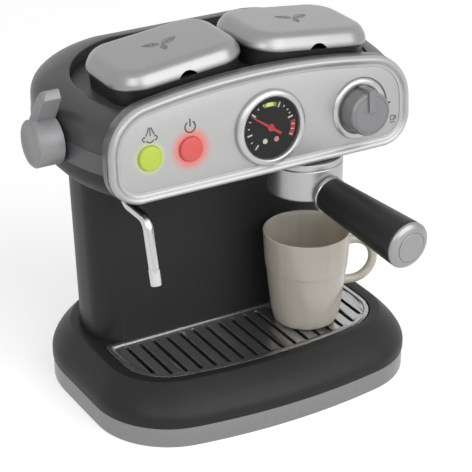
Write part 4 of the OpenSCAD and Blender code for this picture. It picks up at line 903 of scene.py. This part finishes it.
def handle(at_handle):
    """Collar, grip and end cap, along Z from the middle of the bowl."""
    z0, z1 = GROUP_R + 0.2, GROUP_R + 3
    flange = spline([(12.3, z0 + 0.1), (12.7, z0 + 0.8), (12.7, z1 - 0.7), (12.3, z1)], 4)
    collar = turned_solid("handle_collar", [(12.1, z0)] + flange, at_handle)
    place(collar, "portafilter", COLLAR, "wand_chrome", "portafilter_collar")
    side = [(11.1, z1 + 0.1), (11.7, z1 + 0.9), (11.9, z1 + 2.4), (13.6, 62), (15.4, 97), (15.5, 101.6)]
    profile = [(10.9, z1)] + spline(side, 5) + [(15.45, 102.4), (15.2, GRIP_END)]
    grip = turned_solid("handle_grip", profile, at_handle)
    place(grip, "portafilter", GRIP, "black_grip", "portafilter_grip")

    def past_grip(points):
        return [(r, GRIP_END + z) for r, z in points]

    bulge = past_grip([(15.5, 1.6), (14.9, 2.5), (13.4, 3.7), (11.6, 4.5), (10.6, 4.7)])
    profile = past_grip([(15.2, 0), (15.55, 0.5), (15.6, 1.2)]) + spline(bulge, 5)
    profile += past_grip([(10.3, 4.65), (10.15, 4.4), (9.95, 4.4), (9.85, 4.8), (9.6, 5)])
    cap = turned_solid("handle_cap", profile, at_handle)
    place(cap, "portafilter", SILVER, "silver_paint", "grip_end_cap")


def group_head(at_group):
    r, inner = GROUP_R, GROUP_R - GROUP_WALL - 0.06
    z1 = HEAD_Z - 1.6
    z0 = z1 - 4.6
    profile = [(inner, z0 - 3), (inner, z0), (r - 0.4, z0), (r, z0 + 0.4), (r, z1 - 1.2)]
    profile += [(r - 0.3, z1 - 0.4), (r - 1, z1), (11.5, z1), (11.5, HEAD_Z + 7)]
    ring = turned_solid("group_ring", profile, at_group, 128)
    place(ring, "machine", GROUP, "group_grey", "group_head")


def portafilter():
    at_group = moved(GROUP_X, -GROUP_Y, 0)
    at_handle = moved(GROUP_X, -GROUP_Y, HANDLE_Z) @ turn(HANDLE_TURN, "Z") @ turn(HANDLE_LEAN, "Y")
    at_handle = at_handle @ turn(90, "Y")
    filter_bowl(at_group, at_handle)
    handle(at_handle)
    group_head(at_group)


def wand():
    """The pipe, which bends outwards and down again in the XZ plane of its own frame, and its tip."""
    bend, lean = WAND_BEND, WAND_LEAN
    knee_x, knee_z = bend + 16, -bend
    path = [(0, bend + 13), (0, bend + 6), (0, bend + 1)] + arc(bend, bend, bend, 180, 270, 14)
    path += [(knee_x - 8, 0)] + arc(knee_x, knee_z, bend, 90, lean, 14)
    c, s = math.cos(math.radians(lean)), math.sin(math.radians(lean))

    def down(reach):
        """Point of the lower pipe at a reach past the second bend."""
        return (knee_x + bend * c + reach * s, knee_z + bend * s - reach * c)

    path += [down(reach) for reach in (6, 14, 22, 25)]
    at_wand = moved(-WAND_X, -WAND_Y, HEAD_Z - 5 - bend) @ turn(-90, "Z")
    place(swept("wand_tube", path, WAND_R, at_wand), "steam_wand", CHROME, "wand_chrome", "steam_wand")
    x, z = down(25)
    at_tip = at_wand @ moved(x, 0, z) @ turn(180 - lean, "Y")
    r = WAND_R
    tip = [(1.2, 0), (r, 0), (r + 0.35, 0.4), (r + 0.35, 10.4), (r + 0.1, 10.9), (r - 0.3, 11), (1.2, 11)]
    place(turned_ring("wand_tip", tip, at_tip, 48), "steam_wand", CHROME, "wand_chrome", "wand_nozzle")


# ---------------------------------------------------------------- tower


def tower_walls(name, d0, d1):
    """The tower's wall between two insets of its outline."""

    def ring(d, z):
        half_w = TOWER_W / 2 - TOWER_TAPER * (HEAD_Z - z) / (HEAD_Z - DECK_H) - d
        front, rear = -TOWER_Y0 - d, TOWER_Y0 + TOWER_D - d
        return lift(plan(half_w, front, rear, TOWER_FRONT_R - d, TOWER_REAR_R - d, 100 * TOWER_W), z)

    heights = [DECK_H + (HEAD_Z - DECK_H) * i / 6 for i in range(7)]
    rings = [ring(d0, z) for z in heights] + [ring(d1, z) for z in heights[::-1]]
    return loft(name, rings, around=True, sharp=40)


def tower_part(name, d0, d1, y0, y1):
    """The stretch of such a wall from y0 to y1."""
    part = tower_walls(name, d0, d1)
    return carve(part, block(-FAR, FAR, -FAR, y0, 0, FAR), block(-FAR, FAR, y1, FAR, 0, FAR), sharp=40)


def tower():
    """The front shell, with the lip that the rear cover laps over."""
    split = TOWER_Y0 + TOWER_D - COVER_DEPTH
    front = tower_walls("tower_front", 0, 2.6)
    carve(front, block(-FAR, FAR, split - 0.1, FAR, 0, FAR), sharp=40)
    lip = tower_part("lip", 2.5, 4.8, split - 12, split - 1)
    tongue = tower_part("tongue", 2.8, 4.8, split - 8, split + 6)
    carve(front, lip, tongue, operation="UNION", sharp=40)
    place(front, "machine", BLACK, "black_satin", "tower_shell")


# ---------------------------------------------------------------- mug


def mug():
    r, foot, w, h = MUG_R, MUG_FOOT_R, MUG_WALL, MUG_H
    # Inset from the rim's radius and share of the height, with the step that stiffens the wall
    side = [(5.4, 0.21), (3.6, 0.42), (2.4, 0.58), (1.8, 0.62), (1.4, 0.67), (0.7, 0.82)]
    curve = [(foot - 0.8, 0.7), (foot + 0.4, 2.4), (foot + 1.6, h * 0.1)]
    curve += [(r - d, h * share) for d, share in side] + [(r - 0.1, h - 1.2)]
    outside = [(foot - 2.5, 0)] + spline(curve, 5)
    rim = [(r, h - 0.7), (r - 0.25, h - 0.15), (r - 0.7, h), (r - w + 0.25, h - 0.15), (r - w, h - 0.6)]
    curve = [(r - d - w, h * share) for d, share in side[::-1]] + [(foot - 0.6, 4.4), (foot - 2, 2.4)]
    inside = spline(curve, 5)
    at_mug = moved(MUG_X, -MUG_Y, MUG_Z) @ turn(-MUG_TURN, "Z")
    cup = turned_solid("mug_body", outside + rim + inside, at_mug, 128, 60)
    x, z = r + 4.2, h * 0.58
    path = [(x - 10.5, z + MUG_LOOP_R), (x - 4, z + MUG_LOOP_R)] + arc(x, z, MUG_LOOP_R, 90, -90, 32)
    path += [(x - 4, z - MUG_LOOP_R), (x - 10.5, z - MUG_LOOP_R)]
    loop = swept("loop", path, MUG_ROD_R, at_mug, 24)
    core = turned_solid("core", inside[::-1] + [(r - w, h + 5)], at_mug, 128)
    carve(loop, core)
    carve(cup, loop, operation="UNION", sharp=60)
    place(cup, "mug", MUG, "mug_cream", "mug")


# ---------------------------------------------------------------- drip grille


def grille():
    """The plate, with the rounded edges of its slots and bead painted brighter: a painted highlight for the
    light they catch.
    """
    plate = cad_copy("drip_grille", "grille_plate", 0.55)
    place(plate, "drip_grille", GRILLE, "silver_grille", "drip_grille")
    plate.data.materials.append(GRILLE_PAINTED_HIGHLIGHT)
    # The sloping faces of the rounded edges take the painted highlight
    for face in plate.data.polygons:
        if 0.2 < face.normal.z < 0.96:
            face.material_index = 1


# ---------------------------------------------------------------- assembly

base_rim()
base_shell()
head_bowl()
side_band()
head_crown()
lid(-1, "lid_left", "left_lid")
lid(1, "lid_right", "right_lid")
insert_plate()
control_panel()
inlay("power_mark", power_icon, DARK_INK, "silver_panel", (POWER_X + 0.3, 42.9), FACE)
inlay("steam_mark", steam_icon, DARK_INK, "silver_panel", (STEAM_X + 0.8, 43.2), FACE)
dial_marks()
knob_marks()
bezels()
portafilter()
wand()
tower()
mug()
grille()

# CAD node, piece, body, finish, slot and bevel width
COPIES = [
    ("rear_cover", "tower_back", "machine", BLACK, "black_satin", 0),
    ("steam_button", "green_key", "steam_button", GREEN, "green_button", 0),
    ("power_button", "red_key", "power_button", RED, "red_button", 0),
    ("selector_knob", "knob_body", "selector_knob", KNOB, "grey_knob", 0.35),
    ("steam_lever", "lever_body", "steam_lever", LEVER, "grey_lever", 0),
]
for node, name, body, finish, slot_name, edge in COPIES:
    place(cad_copy(node, name, edge), body, finish, slot_name, node)

# ---------------------------------------------------------------- floor, light and camera


def seen_level(tree, unseen, seen):
    """A level for camera, glossy and transmission rays, which see the surroundings, and one for the rest."""
    rays = tree.nodes.new("ShaderNodeLightPath")
    found = rays.outputs["Is Camera Ray"]
    for kind in ("Is Glossy Ray", "Is Transmission Ray"):
        either = tree.nodes.new("ShaderNodeMath")
        either.operation = "MAXIMUM"
        tree.links.new(found, either.inputs[0])
        tree.links.new(rays.outputs[kind], either.inputs[1])
        found = either.outputs[0]
    level = tree.nodes.new("ShaderNodeMapRange")
    level.inputs["To Min"].default_value = unseen
    level.inputs["To Max"].default_value = seen
    tree.links.new(found, level.inputs["Value"])
    return level.outputs["Result"]


def floor():
    bm = bmesh.new()
    half = 3000  # millimetres
    corners = [(-half, -half), (half, -half), (half, half), (-half, half)]
    bm.faces.new([bm.verts.new((x, y, 0)) for x, y in corners])
    plane = from_bmesh("floor", bm)
    m = bpy.data.materials.new("floor_white")
    m.use_nodes = True
    tree = m.node_tree
    shader = tree.nodes["Principled BSDF"]
    shader.inputs["Base Color"].default_value = (0.8, 0.8, 0.8, 1)
    shader.inputs["Roughness"].default_value = 0.9
    shader.inputs["Specular IOR Level"].default_value = 0.0
    shader.inputs["Emission Color"].default_value = (1, 1, 1, 1)
    tree.links.new(seen_level(tree, 0, 0.45), shader.inputs["Emission Strength"])
    plane.data.materials.append(m)


def world():
    w = bpy.data.worlds.new("studio")
    bpy.context.scene.world = w
    w.use_nodes = True
    background = w.node_tree.nodes["Background"]
    background.inputs["Color"].default_value = (1, 1, 1, 1)
    w.node_tree.links.new(seen_level(w.node_tree, 0.5, 1), background.inputs["Strength"])


def area(name, at, target, size, power):
    """A rectangular area light, in metres and watts."""
    data = bpy.data.lights.new(name, "AREA")
    data.shape = "RECTANGLE"
    data.size, data.size_y = size
    data.energy = power
    lamp = bpy.data.objects.new(name, data)
    collection.objects.link(lamp)
    lamp.location = at
    lamp.rotation_euler = (Vector(target) - Vector(at)).to_track_quat("-Z", "Y").to_euler()


def camera():
    focal, width = 1831.9, 472  # pixels
    data = bpy.data.cameras.new("camera")
    data.sensor_width = 36
    data.lens = focal * 36 / width
    data.clip_end = 20
    obj = bpy.data.objects.new("camera", data)
    collection.objects.link(obj)
    target = Vector((3.78, -9, 99.22)) * MM
    distance, azimuth, elevation = 1228.55 * MM, math.radians(-30.21), math.radians(26.25)
    flat = math.cos(elevation)
    back = Vector((math.sin(azimuth) * flat, -math.cos(azimuth) * flat, math.sin(elevation)))
    obj.location = target + back * distance
    obj.rotation_euler = (-back).to_track_quat("-Z", "Y").to_euler()
    bpy.context.scene.camera = obj


floor()
world()
area("key", (-0.9, -0.8, 0.9), (0, 0, 0.12), (0.7, 0.7), 4)
area("front", (0.35, -1.15, 0.95), (0, 0, 0.18), (1.6, 1.2), 15)
camera()
bpy.context.scene.view_settings.view_transform = "Standard"
